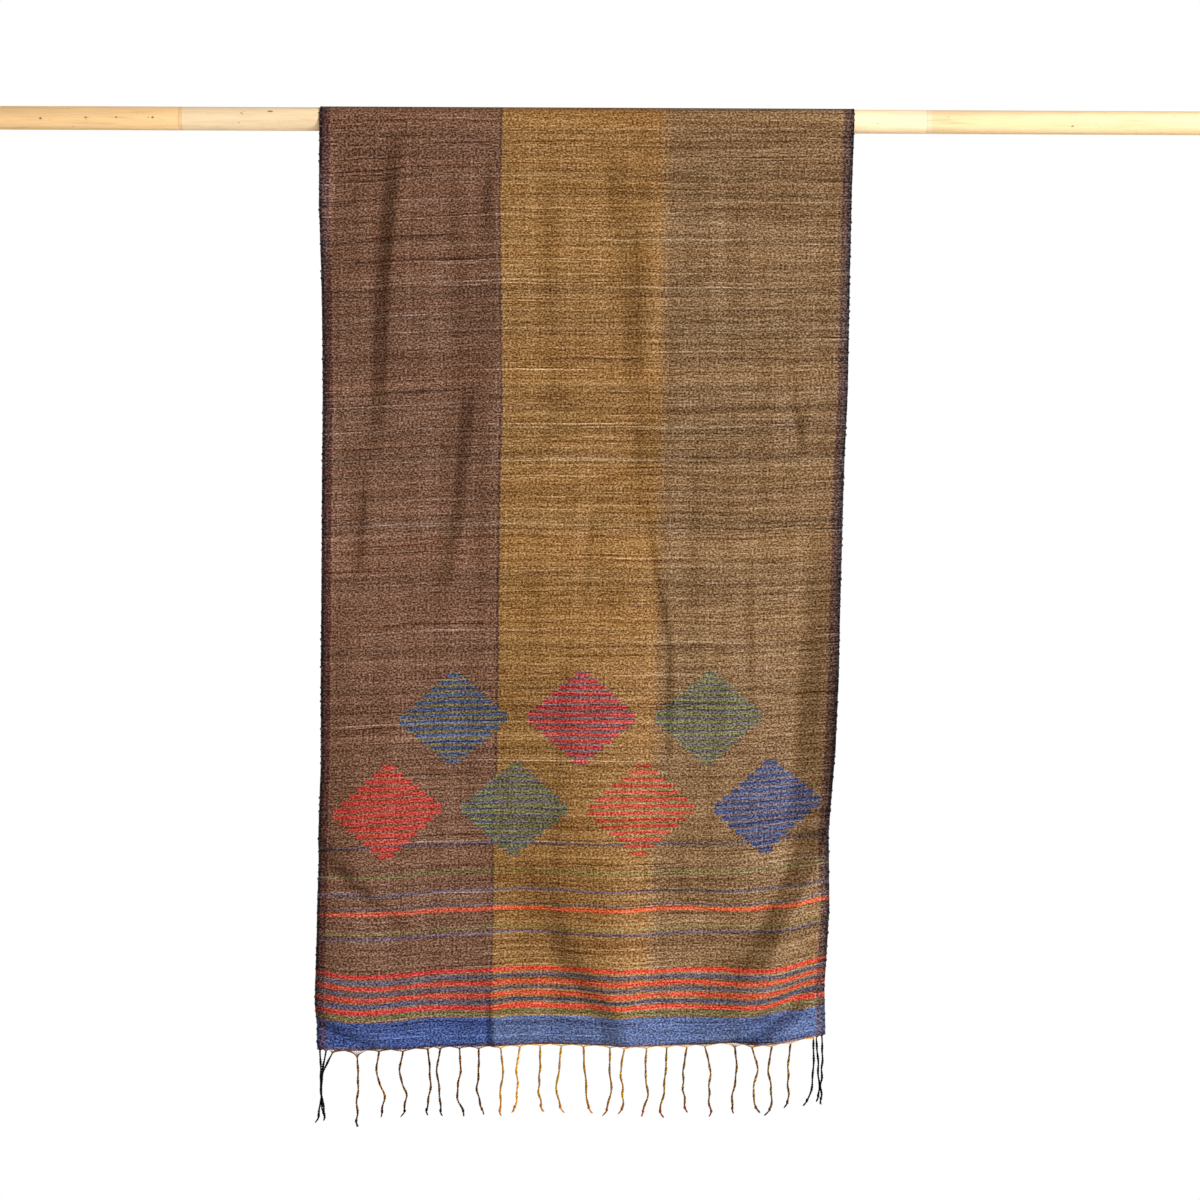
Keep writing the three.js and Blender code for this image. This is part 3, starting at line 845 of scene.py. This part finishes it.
# %% Finish of the silk
def weave_silk(name):
    """Raw silk in plain weave, read from each point's place in the flat cloth."""
    silk = Finish(name)
    woven = silk.attribute(ATTRIBUTE, "Vector")
    across, along, _ = silk.parts(woven)
    hem_distance = silk.math("MINIMUM", along, silk.minus(CUT_LENGTH * MM, along))

    # Threads wander a little, and a slub pushes its neighbours aside.
    half = (0.25, 0.75)
    wander = silk.cloud(woven, 70, 28, half, -0.9 * MM, 0.9 * MM)
    slub_push = silk.cloud(woven, 5, 2.2, half, -0.5 * MM, 0.5 * MM)
    warp_wander = silk.cloud(woven, 2.5, 60, half, -0.5 * MM, 0.5 * MM)
    wandering = silk.add(hem_distance, silk.add(wander, slub_push))
    wandering_along = silk.add(along, wander)

    # The warp bands. Some skeins over them lean to violet and some to olive.
    warp_place = silk.over(silk.add(across, warp_wander), WIDTH * MM)
    warp, _ = silk.ramp(warp_place, band_stops(*zip(*WARP)))
    lean, _ = silk.ramp(silk.noise(silk.shifted(woven, 9.1), 500, 16, 2.0), LEAN)
    warp = silk.mix(0.22, warp, lean, "SOFT_LIGHT")

    # The dashes of the ground weft, and the tone that each skein of it has.
    lift, runs = pick_tones(silk, woven, across, wandering_along)
    warp = silk.shaded(warp, silk.add(skein_tones(silk, woven, wandering_along), runs))

    # Painted shade: a narrow dark band along the crown, where the cloth turns away over the rod.
    from_crown = silk.math("ABSOLUTE", silk.minus(along, (FRONT_DROP + TURN_LENGTH / 2) * MM))
    lift = silk.add(lift, silk.spread(from_crown, 3.5 * MM, 7.5 * MM, -60 / LEVELS, 0.0))

    # Stripes and lozenges cover the ground, less so on the selvedges.
    from_middle = silk.math("ABSOLUTE", silk.minus(across, WIDTH / 2 * MM))
    inner = silk.spread(from_middle, 240 * MM, 242.5 * MM, 1, 0.4)
    patchy = silk.times_add(lift, 0.8, inner)
    colour = lay_stripes(silk, warp, across, wandering, patchy)
    colour = lay_lozenges(silk, colour, across, wandering, patchy)
    colour = silk.lifted(colour, lift)

    # Plain weave: warp and weft cross over and under, one thread at a time.
    waves = [silk.math("SINE", silk.times(way, math.pi / (THREAD * MM))) for way in (across, along)]
    relief = silk.times_add(lift, 3.0, silk.times(*waves))
    gloss = silk.spread(lift, -0.15, 0.15, 0.75, 0.5)
    normal = silk.bump(0.35, 0.25, relief)
    silk.set(Base_Color=colour, Roughness=gloss, Normal=normal, Specular_IOR_Level=0.2)
    silk.set(Sheen_Weight=0.1, Sheen_Roughness=0.4, Sheen_Tint=dye(235, 205, 170))
    return silk.material


silk_finish = weave_silk("raw silk")
cloth.data.materials.append(silk_finish)
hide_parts("cloth_front_fall", "cloth_over_rod", "cloth_back_fall")
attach(cloth, "root")
print("the silk's finish has", len(silk_finish.node_tree.nodes), "steps")

# %% [markdown]
# ## Threads along a path
#
# The edges and the fringe are yarn that follows a path, and that is what Geometry Nodes do best. A path
# comes in as a chain of mesh edges whose points carry a place in the cloth, a thickness and a shade. The
# tree turns the chains into curves, winds two plies around them or keeps one, gives the yarn a round
# section and sets the finish.

# %% Yarn tree
class Yarn(Steps):
    """A Geometry Nodes tree that lays yarn along paths."""

    def __init__(self, name, inputs):
        super().__init__(bpy.data.node_groups.new(name, "GeometryNodeTree"))
        face = self.tree.interface
        face.new_socket("Path", in_out="INPUT", socket_type="NodeSocketGeometry")
        self.names = {}
        for label, value in inputs.items():
            kind = "NodeSocketInt" if isinstance(value, int) else "NodeSocketFloat"
            socket = face.new_socket(label, in_out="INPUT", socket_type=kind)
            socket.default_value = value
            self.names[label] = socket.identifier
        finish = face.new_socket("Finish", in_out="INPUT", socket_type="NodeSocketMaterial")
        self.names["Finish"] = finish.identifier
        face.new_socket("Yarn", in_out="OUTPUT", socket_type="NodeSocketGeometry")
        self.given = self.tree.nodes.new("NodeGroupInput").outputs
        self.result = self.tree.nodes.new("NodeGroupOutput").inputs[0]
        self.curves = self.step("GeometryNodeMeshToCurve", {"Mesh": self.given["Path"]})

    def value(self, name):
        return self.step("GeometryNodeInputNamedAttribute", {"Name": name}, data_type="FLOAT")

    def circle(self, sides, radius):
        return self.step("GeometryNodeCurvePrimitiveCircle", {"Resolution": sides, "Radius": radius})

    def tube(self, curves, section):
        """A closed tube along curves, as thick at each point as its size says."""
        inputs = {"Curve": curves, "Profile Curve": section, "Scale": self.value("size"), "Fill Caps": True}
        return self.step("GeometryNodeCurveToMesh", inputs)

    def end(self, *parts):
        """Every tree ends in real mesh with its finish on it."""
        joined = self.tree.nodes.new("GeometryNodeJoinGeometry")
        for part in parts:
            self.tree.links.new(part, joined.inputs[0])
        real = self.step("GeometryNodeRealizeInstances", {"Geometry": joined.outputs[0]})
        smooth = self.step("GeometryNodeSetShadeSmooth", {"Geometry": real})
        done = self.step("GeometryNodeSetMaterial", {"Geometry": smooth, "Material": self.given["Finish"]})
        self.tree.links.new(done, self.result)

    def apply(self, path, material):
        """Run the tree on a path object and keep the plain mesh."""
        modifier = path.modifiers.new("yarn", "NODES")
        modifier.node_group = self.tree
        modifier[self.names["Finish"]] = material
        path.update_tag()
        finish_mesh(path)
        path.data.materials.append(material)
        return path


print("yarn tree ready")

# %% Twisted and single yarn
def twisted_yarn():
    """Two plies wound round each other along every path."""
    sizes = {"Ply Radius": 0.64 * MM, "Wind Radius": 0.5 * MM, "Pitch": 4.6 * MM, "Sides": 5}
    yarn = Yarn("twisted yarn", sizes)
    length = yarn.step("GeometryNodeSplineParameter", {}, "Length")
    turn = yarn.times(yarn.over(length, yarn.given["Pitch"]), 2 * math.pi)
    normal = yarn.step("GeometryNodeInputNormal", {})
    sideways = yarn.vector("CROSS_PRODUCT", yarn.step("GeometryNodeInputTangent", {}), normal)
    wind = yarn.times(yarn.given["Wind Radius"], yarn.value("size"))
    section = yarn.circle(yarn.given["Sides"], yarn.given["Ply Radius"])
    plies = []
    for ply in (0, 1):
        angle = yarn.add(turn, ply * math.pi)
        first = yarn.vector("SCALE", normal, Scale=yarn.math("COSINE", angle))
        second = yarn.vector("SCALE", sideways, Scale=yarn.math("SINE", angle))
        offset = yarn.vector("SCALE", yarn.vector("ADD", first, second), Scale=wind)
        wound = yarn.step("GeometryNodeSetPosition", {"Geometry": yarn.curves, "Offset": offset})
        marked = {"Geometry": yarn.tube(wound, section), "Name": "ply", "Value": float(ply)}
        plies.append(yarn.step("GeometryNodeStoreNamedAttribute", marked))
    yarn.end(*reversed(plies))
    return yarn


def single_yarn():
    """One round thread along every path."""
    yarn = Yarn("single yarn", {"Radius": 0.3 * MM, "Sides": 5})
    yarn.end(yarn.tube(yarn.curves, yarn.circle(yarn.given["Sides"], yarn.given["Radius"])))
    return yarn


def path_object(name, chains):
    """An object of edge chains. A chain is (points in mm, places in the cloth, sizes, shade)."""
    points = np.concatenate([chain[0] for chain in chains])
    starts = np.cumsum([0] + [len(chain[0]) for chain in chains])
    edges = [(i, i + 1) for start, end in zip(starts, starts[1:]) for i in range(start, end - 1)]
    mesh = bpy.data.meshes.new(name)
    mesh.from_pydata((points * MM).tolist(), edges, [])
    made = add_object(name, mesh)
    remember_place(made, np.concatenate([chain[1] for chain in chains]))
    for label, column in (("size", 2), ("shade", 3)):
        stored = mesh.attributes.new(label, "FLOAT", "POINT")
        stored.data.foreach_set("value", np.concatenate([chain[column] for chain in chains]))
    return made


twisted = twisted_yarn()
single = single_yarn()
for yarn in (twisted, single):
    print(yarn.tree.name, "takes", len(yarn.tree.nodes), "steps")

# %% [markdown]
# ## The selvedges
#
# At each side the weft turns round the outermost warp ends and comes back. Seen close, the edge is a firm
# little cord with a loop at every turn of the thicker picks. The cord follows the sheet's own edge, and
# the loops are instances of one small ring, each turned and sized by chance.

# %% Edge cords and their loops
CORD_STEP = 2.4  # between the points of its path
CORD_PLACE = 1.0  # where in the cloth it takes its colour, in from the edge
CORD_SIDES, LOOP_SIDES, YARN_SIDES = 6, 9, 5
LOOP_TILT = (0.4, 0.5, 0.5)  # a loop leans by up to this to either side
LOOP_SIZES = (0.35, 1.25)


def selvedge_yarn():
    """A cord along every path, with small rings on it."""
    sizes = {"Radius": 0.62, "Loop Step": 6.4, "Loop Radius": 0.95, "Loop Yarn": 0.36}
    yarn = Yarn("selvedge yarn", {name: size * MM for name, size in sizes.items()} | {"Seed": 5})
    given = yarn.given
    cord = yarn.tube(yarn.curves, yarn.circle(CORD_SIDES, given["Radius"]))
    ring = yarn.circle(LOOP_SIDES, given["Loop Radius"])
    section = yarn.circle(YARN_SIDES, given["Loop Yarn"])
    loop = yarn.step("GeometryNodeCurveToMesh", {"Curve": ring, "Profile Curve": section})
    along = {"Curve": yarn.curves, "Length": given["Loop Step"]}
    spots = yarn.step("GeometryNodeCurveToPoints", along, mode="LENGTH")
    tilts = {0: tuple(-tilt for tilt in LOOP_TILT), 1: LOOP_TILT, "Seed": given["Seed"]}
    turn = yarn.step("FunctionNodeRandomValue", tilts, data_type="FLOAT_VECTOR")
    upright = yarn.vector("ADD", turn, (math.pi / 2, 0.0, 0.0))
    chances = {2: LOOP_SIZES[0], 3: LOOP_SIZES[1], "Seed": given["Seed"]}
    size = yarn.step("FunctionNodeRandomValue", chances, 1, data_type="FLOAT")
    placed = {"Points": spots, "Instance": loop, "Rotation": upright, "Scale": size}
    yarn.end(yarn.step("GeometryNodeInstanceOnPoints", placed), cord)
    return yarn


def edge_chain(column, across):
    """The path of one selvedge, resampled evenly, a little thicker where a slub was woven in."""
    path = points[:, column]
    travelled = np.concatenate([[0], np.cumsum(np.linalg.norm(np.diff(path, axis=0), axis=1))])
    stops = np.arange(0, travelled[-1], CORD_STEP)
    even = np.stack([np.interp(stops, travelled, path[:, i]) for i in range(3)], axis=1)
    along = np.interp(stops, travelled, along_rows)
    return even, flat_places(across, along), chance.uniform(0.75, 1.3, len(stops)), np.zeros(len(stops))


both_edges = [edge_chain(0, CORD_PLACE), edge_chain(COLUMNS, WIDTH - CORD_PLACE)]
edges_path = path_object("silk_selvedges", both_edges)
selvedges = selvedge_yarn().apply(edges_path, silk_finish)
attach(selvedges, "root")
print("the selvedges have", len(selvedges.data.polygons), "faces")

# %% [markdown]
# ## The fringe
#
# Off the loom, the warp ends are left long and gathered in bunches, and each bunch is twisted from two
# plies and stopped with a knot. A strand is never straight: the twist makes it kink, and its end flicks to
# one side. One row of the table is one strand: where it leaves the hem, how far below it is gathered, how
# far it has swung at a third, at two thirds and at its tip, and how long it is.

# %% Table of strands
Strand = namedtuple("Strand", "across root third two_thirds tip length")
STRANDS = rows(
    Strand,
    (2, 1.8, 1, 1, -1, 66), (8, 1.8, -3.5, -4, 1, 64), (38, 6.5, 1, 0, 0, 64), (58, 2.5, -2, 5, 2, 61),
    (82, 1.8, -3, 3, 0, 61), (106, 1.8, 2, 2, -3, 62), (118, 2.4, -3, 0, 0, 63), (137, 1.8, 1, -2, 5, 64),
    (156, 2.2, 0, -1, 6, 62), (178, 1.8, 2, 0, -1, 64), (197, 1.8, -3, -2, -6, 62),
    (217, 1.8, 0, -1, 2, 61), (238, 1.8, -2, -4, 0, 62), (260, 1.8, 1, 3, 5, 62), (286, 1.8, 0, 1, -4, 63),
    (300, 1.8, -3, -1, -2, 61), (322, 1.8, -1, 1, -4, 64), (342, 1.8, -1, -3, -7, 65),
    (362, 1.8, -3, -3, 0, 62), (380, 1.8, 5, 4, 6, 66), (410, 4.5, 1.5, -1.5, -3.5, 62),
    (426, 2.4, 5, 1, 6, 61), (445, 1.8, -3, 0, -2, 64), (464, 1.8, -2, -2, -2, 60),
    (488, 1.8, 0, -1, -7, 64), (497, 1.8, 0.5, -0.5, -1, 64),
)
# One more thin strand at each corner, twisted in with its neighbours.
STRANDS = sorted(STRANDS + rows(Strand, (14, 3.2, -9, -9.5, -7, 60), (491, 1.8, 1.5, 2.5, 3, 60)))
BACK_STRANDS = [
    Strand(WIDTH - s.across, s.root, -s.third, -s.two_thirds, -s.tip, s.length) for s in STRANDS[::-1]
]
print(len(STRANDS), "strands at each hem")

# %% Hang a strand
STRAND_STEP = 0.8
KNOT_HEIGHT = 6.6  # of a knot's middle above its strand's end
TAIL = 4.8  # of loose ends below the knot


def through(values, t):
    """A smooth curve through evenly spaced values, at t from 0 to 1."""
    padded = [2 * values[0] - values[1], *values, 2 * values[-1] - values[-2]]
    i = np.clip((t * 3).astype(int), 0, 2)
    f = t * 3 - i
    a, b, c, d = (np.array(padded)[i + k] for k in range(4))
    return 0.5 * (2 * b + (c - a) * f + (2 * a - 5 * b + 4 * c - d) * f**2 + (3 * b - a - 3 * c + d) * f**3)


def hang_strand(fall, strand):
    """A strand's path from its root to where its loose tail starts."""
    hem = bend_row(fall, fall.drop, np.array([float(strand.across)]))[0]
    t = np.linspace(0, 1, int(strand.length / STRAND_STEP))
    sway = through([0, strand.third, strand.two_thirds, strand.tip], t)
    kink = 0.9 * np.sin(t * chance.uniform(12, 26) + chance.uniform(0, 6))
    depth = chance.uniform(-1.2, 1.2) * np.sin(t * chance.uniform(3, 6))
    down = hem[2] - strand.root - t * strand.length
    path = np.stack([hem[0] + sway + kink * t, hem[1] + depth, down], axis=1)
    return path[: -int(TAIL / STRAND_STEP)]


print("the longest strand is", max(strand.length for strand in STRANDS), "mm long")

# %% [markdown]
# Three kinds of chain make one strand: the twisted strand itself, the warp ends that leave the hem on
# either side of it and run along the hem to its root, and the loose tail below its knot. The knot is a
# short coil of the same yarn wound tightly round the strand.

# %% Twist the strands and gather the warp ends
GATHERED = 9  # warp ends drawn as threads on the way to one strand
GATHERED_STEPS = 7
OUTER_END = 0.8  # from the edge of the cloth to the first warp end that is drawn
TAIL_THREADS = 6
TAIL_SIZES = [1.5, 2.0, 2.2, 1.9, 0.9]
KNOT_TURNS = 2.2
KNOT_STEPS = 26
KNOT_RADIUS = 0.95
KNOT_SPAN = 2.6
TIP_PLACE = 1000  # a strand counts its own length from 0 at the root to this at the tip
KNOT_PLACE = 980
HEM_PLACE = -1  # of the gathered ends


def strand_chain(path, strand):
    count = len(path)
    t = np.linspace(0, 1, count)
    places = flat_places(strand.across, t * TIP_PLACE)
    taper = np.interp(t, [0, 0.06, 0.9, 1], [0.75, 1, 1, 0.9])
    slubs = 1 + 0.18 * np.sin(t * chance.uniform(20, 34) + chance.uniform(0, 6))
    return path, places, taper * slubs, np.full(count, chance.uniform(0, 1))


def knot_chain(path, strand):
    """A tight coil round the strand, a little above its loose tail."""
    middle = path[-int((KNOT_HEIGHT - TAIL) / STRAND_STEP) - 1]
    t = np.linspace(0, 1, KNOT_STEPS)
    turn = t * KNOT_TURNS * 2 * math.pi + chance.uniform(0, 6)
    radius = KNOT_RADIUS * (0.7 + 0.3 * np.sin(math.pi * t))
    ring = np.stack([radius * np.cos(turn), radius * np.sin(turn), (0.5 - t) * KNOT_SPAN], axis=1)
    places = flat_places(strand.across, np.full(KNOT_STEPS, KNOT_PLACE))
    return middle + ring, places, np.full(KNOT_STEPS, 1.7), np.full(KNOT_STEPS, chance.uniform(0, 1))


def tail_chains(path, strand):
    """Loose silk below the knot."""
    along = path[-1] - path[-4]
    along = along / np.linalg.norm(along)
    flick = np.array([chance.choice([-1, 1]) * chance.uniform(0.2, 1.0), 0, 0.1])
    for _ in range(TAIL_THREADS):
        flare = flick + chance.normal(0, 0.12, 3)
        t = np.linspace(0, 1, len(TAIL_SIZES))[:, None]
        length = TAIL * chance.uniform(0.7, 1.25)
        thread = path[-1] + (t - 0.25) * length * along + t**1.5 * flare * [1, 1, 0.2] * length * 0.6
        places = flat_places(strand.across, np.full(len(t), TIP_PLACE))
        yield thread, places, np.array(TAIL_SIZES), np.full(len(t), chance.uniform(0, 1))


def gathered_chains(fall, strands):
    """The warp ends between each strand and its neighbours, drawn together along the hem."""
    places_across = [s.across for s in strands]
    middles = [(a + b) / 2 for a, b in zip(places_across, places_across[1:])]
    lefts = [OUTER_END] + middles
    rights = middles + [WIDTH - OUTER_END]
    for strand, left, right in zip(strands, lefts, rights):
        root = bend_row(fall, fall.drop, np.array([float(strand.across)]))[0] - [0, 0, strand.root + 0.6]
        for across in np.linspace(left, right, GATHERED):
            t = np.linspace(0, 1, GATHERED_STEPS)
            way = across + (strand.across - across) * t**0.8
            hem = bend_row(fall, fall.drop, way)
            drop = strand.root * (0.35 * t + 0.65 * t**4) + 0.5 * np.sin(math.pi * t)
            thread = hem - np.stack([0 * t, 0 * t, drop], axis=1)
            thread += np.outer(t**6, root - thread[-1])
            thread += chance.uniform(-0.25, 0.25, 3) * np.sin(math.pi * t)[:, None]
            places = flat_places(across, np.full(GATHERED_STEPS, HEM_PLACE))
            size, shade = chance.uniform(0.7, 1.2), chance.uniform(0, 1)
            yield thread, places, np.full(GATHERED_STEPS, size), np.full(GATHERED_STEPS, shade)


print(len(STRANDS) * GATHERED, "gathered warp ends at each hem")

# %% [markdown]
# The fringe takes its colours from the warp it is made of. The bunches from the dark selvedges are almost
# black, those from the plum band twist dark brown with ochre, and those from gold and taupe are ochre,
# deeper to the right. The finish reads the place across the cloth, the ply, and how near the tip is,
# where the loose silk turns to rust and brown.

# %% Finish of the fringe
FIRST_PLY = shades(
    (0.0, 12, 6, 6), (0.04, 16, 7, 6), (0.08, 42, 17, 6), (0.32, 46, 20, 7), (0.36, 168, 116, 8),
    (0.6, 150, 102, 12), (0.68, 96, 64, 14), (0.93, 66, 40, 12), (0.975, 12, 6, 6),
)
SECOND_PLY = shades(
    (0.0, 14, 8, 8), (0.04, 24, 12, 8), (0.08, 178, 118, 30), (0.32, 156, 102, 26), (0.36, 220, 168, 22),
    (0.6, 216, 166, 30), (0.68, 206, 160, 40), (0.93, 176, 130, 34), (0.975, 20, 10, 9),
)
GATHERED_ENDS = shades(
    (0.0, 24, 12, 10), (0.05, 104, 64, 22), (0.32, 120, 76, 28), (0.36, 228, 172, 60), (0.97, 206, 154, 66),
    (0.985, 30, 16, 14),
)
TIPS = shades(
    (0.0, 10, 5, 5), (0.3, 34, 14, 8), (0.36, 206, 132, 12), (0.58, 166, 72, 10), (0.7, 134, 52, 10),
    (0.9, 76, 34, 8), (0.975, 12, 6, 6),
)


def dye_fringe(name):
    yarn = Finish(name)
    across, along, _ = yarn.parts(yarn.attribute(ATTRIBUTE, "Vector"))
    place = yarn.over(across, WIDTH * MM)
    where = yarn.step("ShaderNodeTexCoord", {}, "Object")
    flecks = yarn.spread(yarn.noise(where, 2.2, 2.2, 1.0, 4.5), 0.42, 0.58)
    second = yarn.times(yarn.attribute("ply"), yarn.times_add(flecks, 0.75, 0.25))
    colour = yarn.mix(second, yarn.ramp(place, FIRST_PLY)[0], yarn.ramp(place, SECOND_PLY)[0])
    gathered = yarn.math("LESS_THAN", along, 0.0)
    colour = yarn.mix(gathered, colour, yarn.ramp(place, GATHERED_ENDS)[0])
    near_tip = yarn.spread(along, 0.8, 0.97, 0.0, 0.85)
    colour = yarn.mix(near_tip, colour, yarn.ramp(place, TIPS)[0])
    shade = yarn.spread(yarn.attribute("shade"), 0, 1, 0.65, 1.2)
    fibres = yarn.spread(yarn.noise(where, 0.8, 0.8, 3.0, 2.5), 0.3, 0.7, 0.65, 1.3)
    colour = yarn.shaded(colour, yarn.times(shade, fibres))
    bump = yarn.bump(0.5, 0.15, yarn.noise(where, 0.4, 0.4, 2.0, 1.6))
    yarn.set(Base_Color=colour, Roughness=0.9, Normal=bump, Specular_IOR_Level=0.03)
    return yarn.material


fringe_finish = dye_fringe("twisted warp ends")
print("the fringe's finish has", len(fringe_finish.node_tree.nodes), "steps")

# %% Make both fringes
def make_fringe(label, fall, strands, node):
    """One fringe: its twisted strands, and with them its gathered ends, knots and tails."""
    paths = [hang_strand(fall, strand) for strand in strands]
    chains = [strand_chain(path, strand) for path, strand in zip(paths, strands)]
    twists = twisted.apply(path_object(f"{label}_strands", chains), fringe_finish)
    fine = list(gathered_chains(fall, strands))
    for path, strand in zip(paths, strands):
        fine.append(knot_chain(path, strand))
        fine.extend(tail_chains(path, strand))
    threads = single.apply(path_object(f"{label}_threads", fine), fringe_finish)
    for made in (twists, threads):
        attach(made, "root")
        print(made.name, "has", len(made.data.polygons), "faces")
    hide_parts(node)
    return [twists, threads]


fringes = make_fringe("fringe_front", FRONT, STRANDS, "fringe_front")
fringes += make_fringe("fringe_back", BACK, BACK_STRANDS, "fringe_back")

# %% [markdown]
# ## The rod
#
# The scarf hangs over a plain dowel of pale wood, glued end to end from three lengths. A joint shows as a
# change of tone and a hairline. One profile is swept round: long straight sides, a softened rim at each
# end, and a shallow score at each joint.

# %% Turn the rod
ROD_SIDES = 96
JOINTS = [-383, 319]  # along the rod, from the scarf's middle
SCORE = (0.5, 0.08)  # a joint's half width and its depth
Knot = namedtuple("Knot", "along high long wide")
ROD_KNOTS = rows(
    Knot,
    (-512, -2.4, 2.4, 1.6), (-469.5, -1.4, 2.6, 1.2), (-441, -1, 1.6, 1.4), (-407, -1, 2.2, 1.8),
    (-411, -1, 1.2, 1), (-297, 5.4, 4.6, 1.4), (-324, 3.6, 1.4, 1), (455, -5, 2.4, 1.2),
)
# The softened end: how far in from it, and how wide there, up to a radius of 11.
RIM = [(0, 0), (0.05, 6), (0.1, 9.2), (0.35, 9.8), (0.9, 10.4), (1.6, 10.85), (2.4, 11)]


def rod_profile():
    """(along, radius) from the left end's middle to the right end's."""
    rim = [(-ROD_HALF + inset, radius * ROD_RADIUS / RIM[-1][1]) for inset, radius in RIM]
    scores = []
    for joint in JOINTS:
        half, depth = SCORE
        scores += [(joint - half, ROD_RADIUS), (joint, ROD_RADIUS - depth), (joint + half, ROD_RADIUS)]
    return rim + scores + [(-along, radius) for along, radius in rim[::-1]]


profile = rod_profile()
angles = np.linspace(0, 2 * math.pi, ROD_SIDES, endpoint=False)
rings = profile[1:-1]
rod_points = [(profile[0][0], 0, 0), (profile[-1][0], 0, 0)]
for along, radius in rings:
    rod_points += [(along, radius * math.cos(a), radius * math.sin(a)) for a in angles]
ring_start = [2 + i * ROD_SIDES for i in range(len(rings))]
rod_faces = []
for k in range(ROD_SIDES):
    n = (k + 1) % ROD_SIDES
    rod_faces.append((0, ring_start[0] + n, ring_start[0] + k))
    rod_faces.append((1, ring_start[-1] + k, ring_start[-1] + n))
    for low, high in zip(ring_start, ring_start[1:]):
        rod_faces.append((low + k, low + n, high + n, high + k))
rod = plain_mesh("wooden_rod", np.array(rod_points) * MM, rod_faces)
rod.data.polygons.foreach_set("use_smooth", [True] * len(rod.data.polygons))
print(f"the rod is {2 * ROD_HALF:.0f} mm long")

# %% [markdown]
# Pale wood has three scales of detail: long soft figure, fine fibres a fraction of a millimetre wide, and
# here and there a small dark knot or fleck. All run along the rod, so the noise is stretched that way. The
# end faces show rings instead, because there the fibres are cut across.

# %% Finish of the rod
def finish_wood(name):
    wood = Finish(name)
    where = wood.step("ShaderNodeTexCoord", {}, "Object")
    along, deep, high = wood.parts(where)
    place = wood.map(along, From_Min=-ROD_HALF * MM, From_Max=ROD_HALF * MM)
    joints = [(joint + ROD_HALF) / (2 * ROD_HALF) for joint in JOINTS]
    lengths = [(0.0, dye(245, 206, 152)), (joints[0], dye(250, 225, 186)), (joints[1], dye(248, 218, 170))]
    tone, _ = wood.ramp(place, lengths, "CONSTANT")
    figure = wood.spread(wood.noise(where, 160, 7, 3.0, 7), 0.3, 0.7, 0.9, 1.07)
    fibres = wood.spread(wood.noise(where, 22, 0.7, 3.0, 0.7), 0.3, 0.7, 0.93, 1.06)
    colour = wood.shaded(tone, wood.times(figure, fibres))
    darker = wood.spread(wood.noise(where, 60, 3, 2.0, 3), 0.6, 0.75, 0.0, 0.35)
    colour = wood.mix(darker, colour, dye(196, 142, 92))
    flecks = wood.spread(wood.noise(where, 5.5, 1.8, 1.0, 1.8), 0.73, 0.78, 0.0, 0.6)
    colour = wood.mix(flecks, colour, dye(122, 76, 42))
    facing = wood.math("LESS_THAN", deep, 0.0)

    def squares(first, second):
        return wood.add(wood.math("POWER", first, 2), wood.math("POWER", second, 2))

    for knot in ROD_KNOTS:
        aside = wood.over(wood.minus(along, knot.along * MM), knot.long / 2 * MM)
        above = wood.over(wood.minus(high, knot.high * MM), knot.wide / 2 * MM)
        spot = wood.times(wood.spread(squares(aside, above), 0.3, 2.2, 0.85, 0.0), facing)
        colour = wood.mix(spot, colour, dye(112, 62, 32))
    score = 0.0
    for joint in JOINTS:
        line = wood.math("COMPARE", along, joint * MM, 0.25 * MM)
        score = wood.math("MAXIMUM", line, score)
    colour = wood.mix(wood.times(score, 0.35), colour, dye(150, 104, 62))
    radius = wood.math("POWER", squares(deep, high), 0.5)
    uneven = wood.times_add(wood.noise(where, 9, 9, 2.0, 9), 2.5 * MM, radius)
    ring = wood.math("PINGPONG", uneven, 0.9 * MM)
    rings = wood.spread(ring, 0, 0.9 * MM, 0.78, 1.0)
    at_end = wood.math("GREATER_THAN", wood.math("ABSOLUTE", along), (ROD_HALF - 0.2) * MM)
    colour = wood.mix(at_end, colour, wood.shaded(dye(206, 160, 108), rings))
    bump = wood.bump(0.25, 0.15, wood.noise(where, 18, 0.6, 3.0, 0.6))
    wood.set(Base_Color=colour, Roughness=0.5, Normal=bump)
    return wood.material


wood_finish = finish_wood("pale rod wood")
rod.data.materials.append(wood_finish)
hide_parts("rod")
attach(rod, "root")
print("the rod's finish has", len(wood_finish.node_tree.nodes), "steps")

# %% [markdown]
# ## Size of the result
#
# The last cell prints the finished scarf's box beside the frame's.

# %% Sizes of the result
low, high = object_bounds()
sizes = {
    "cad": [list(map(float, cad_low)), list(map(float, cad_high))],
    "visual": [list(map(float, low)), list(map(float, high))],
}
print(json.dumps(sizes))
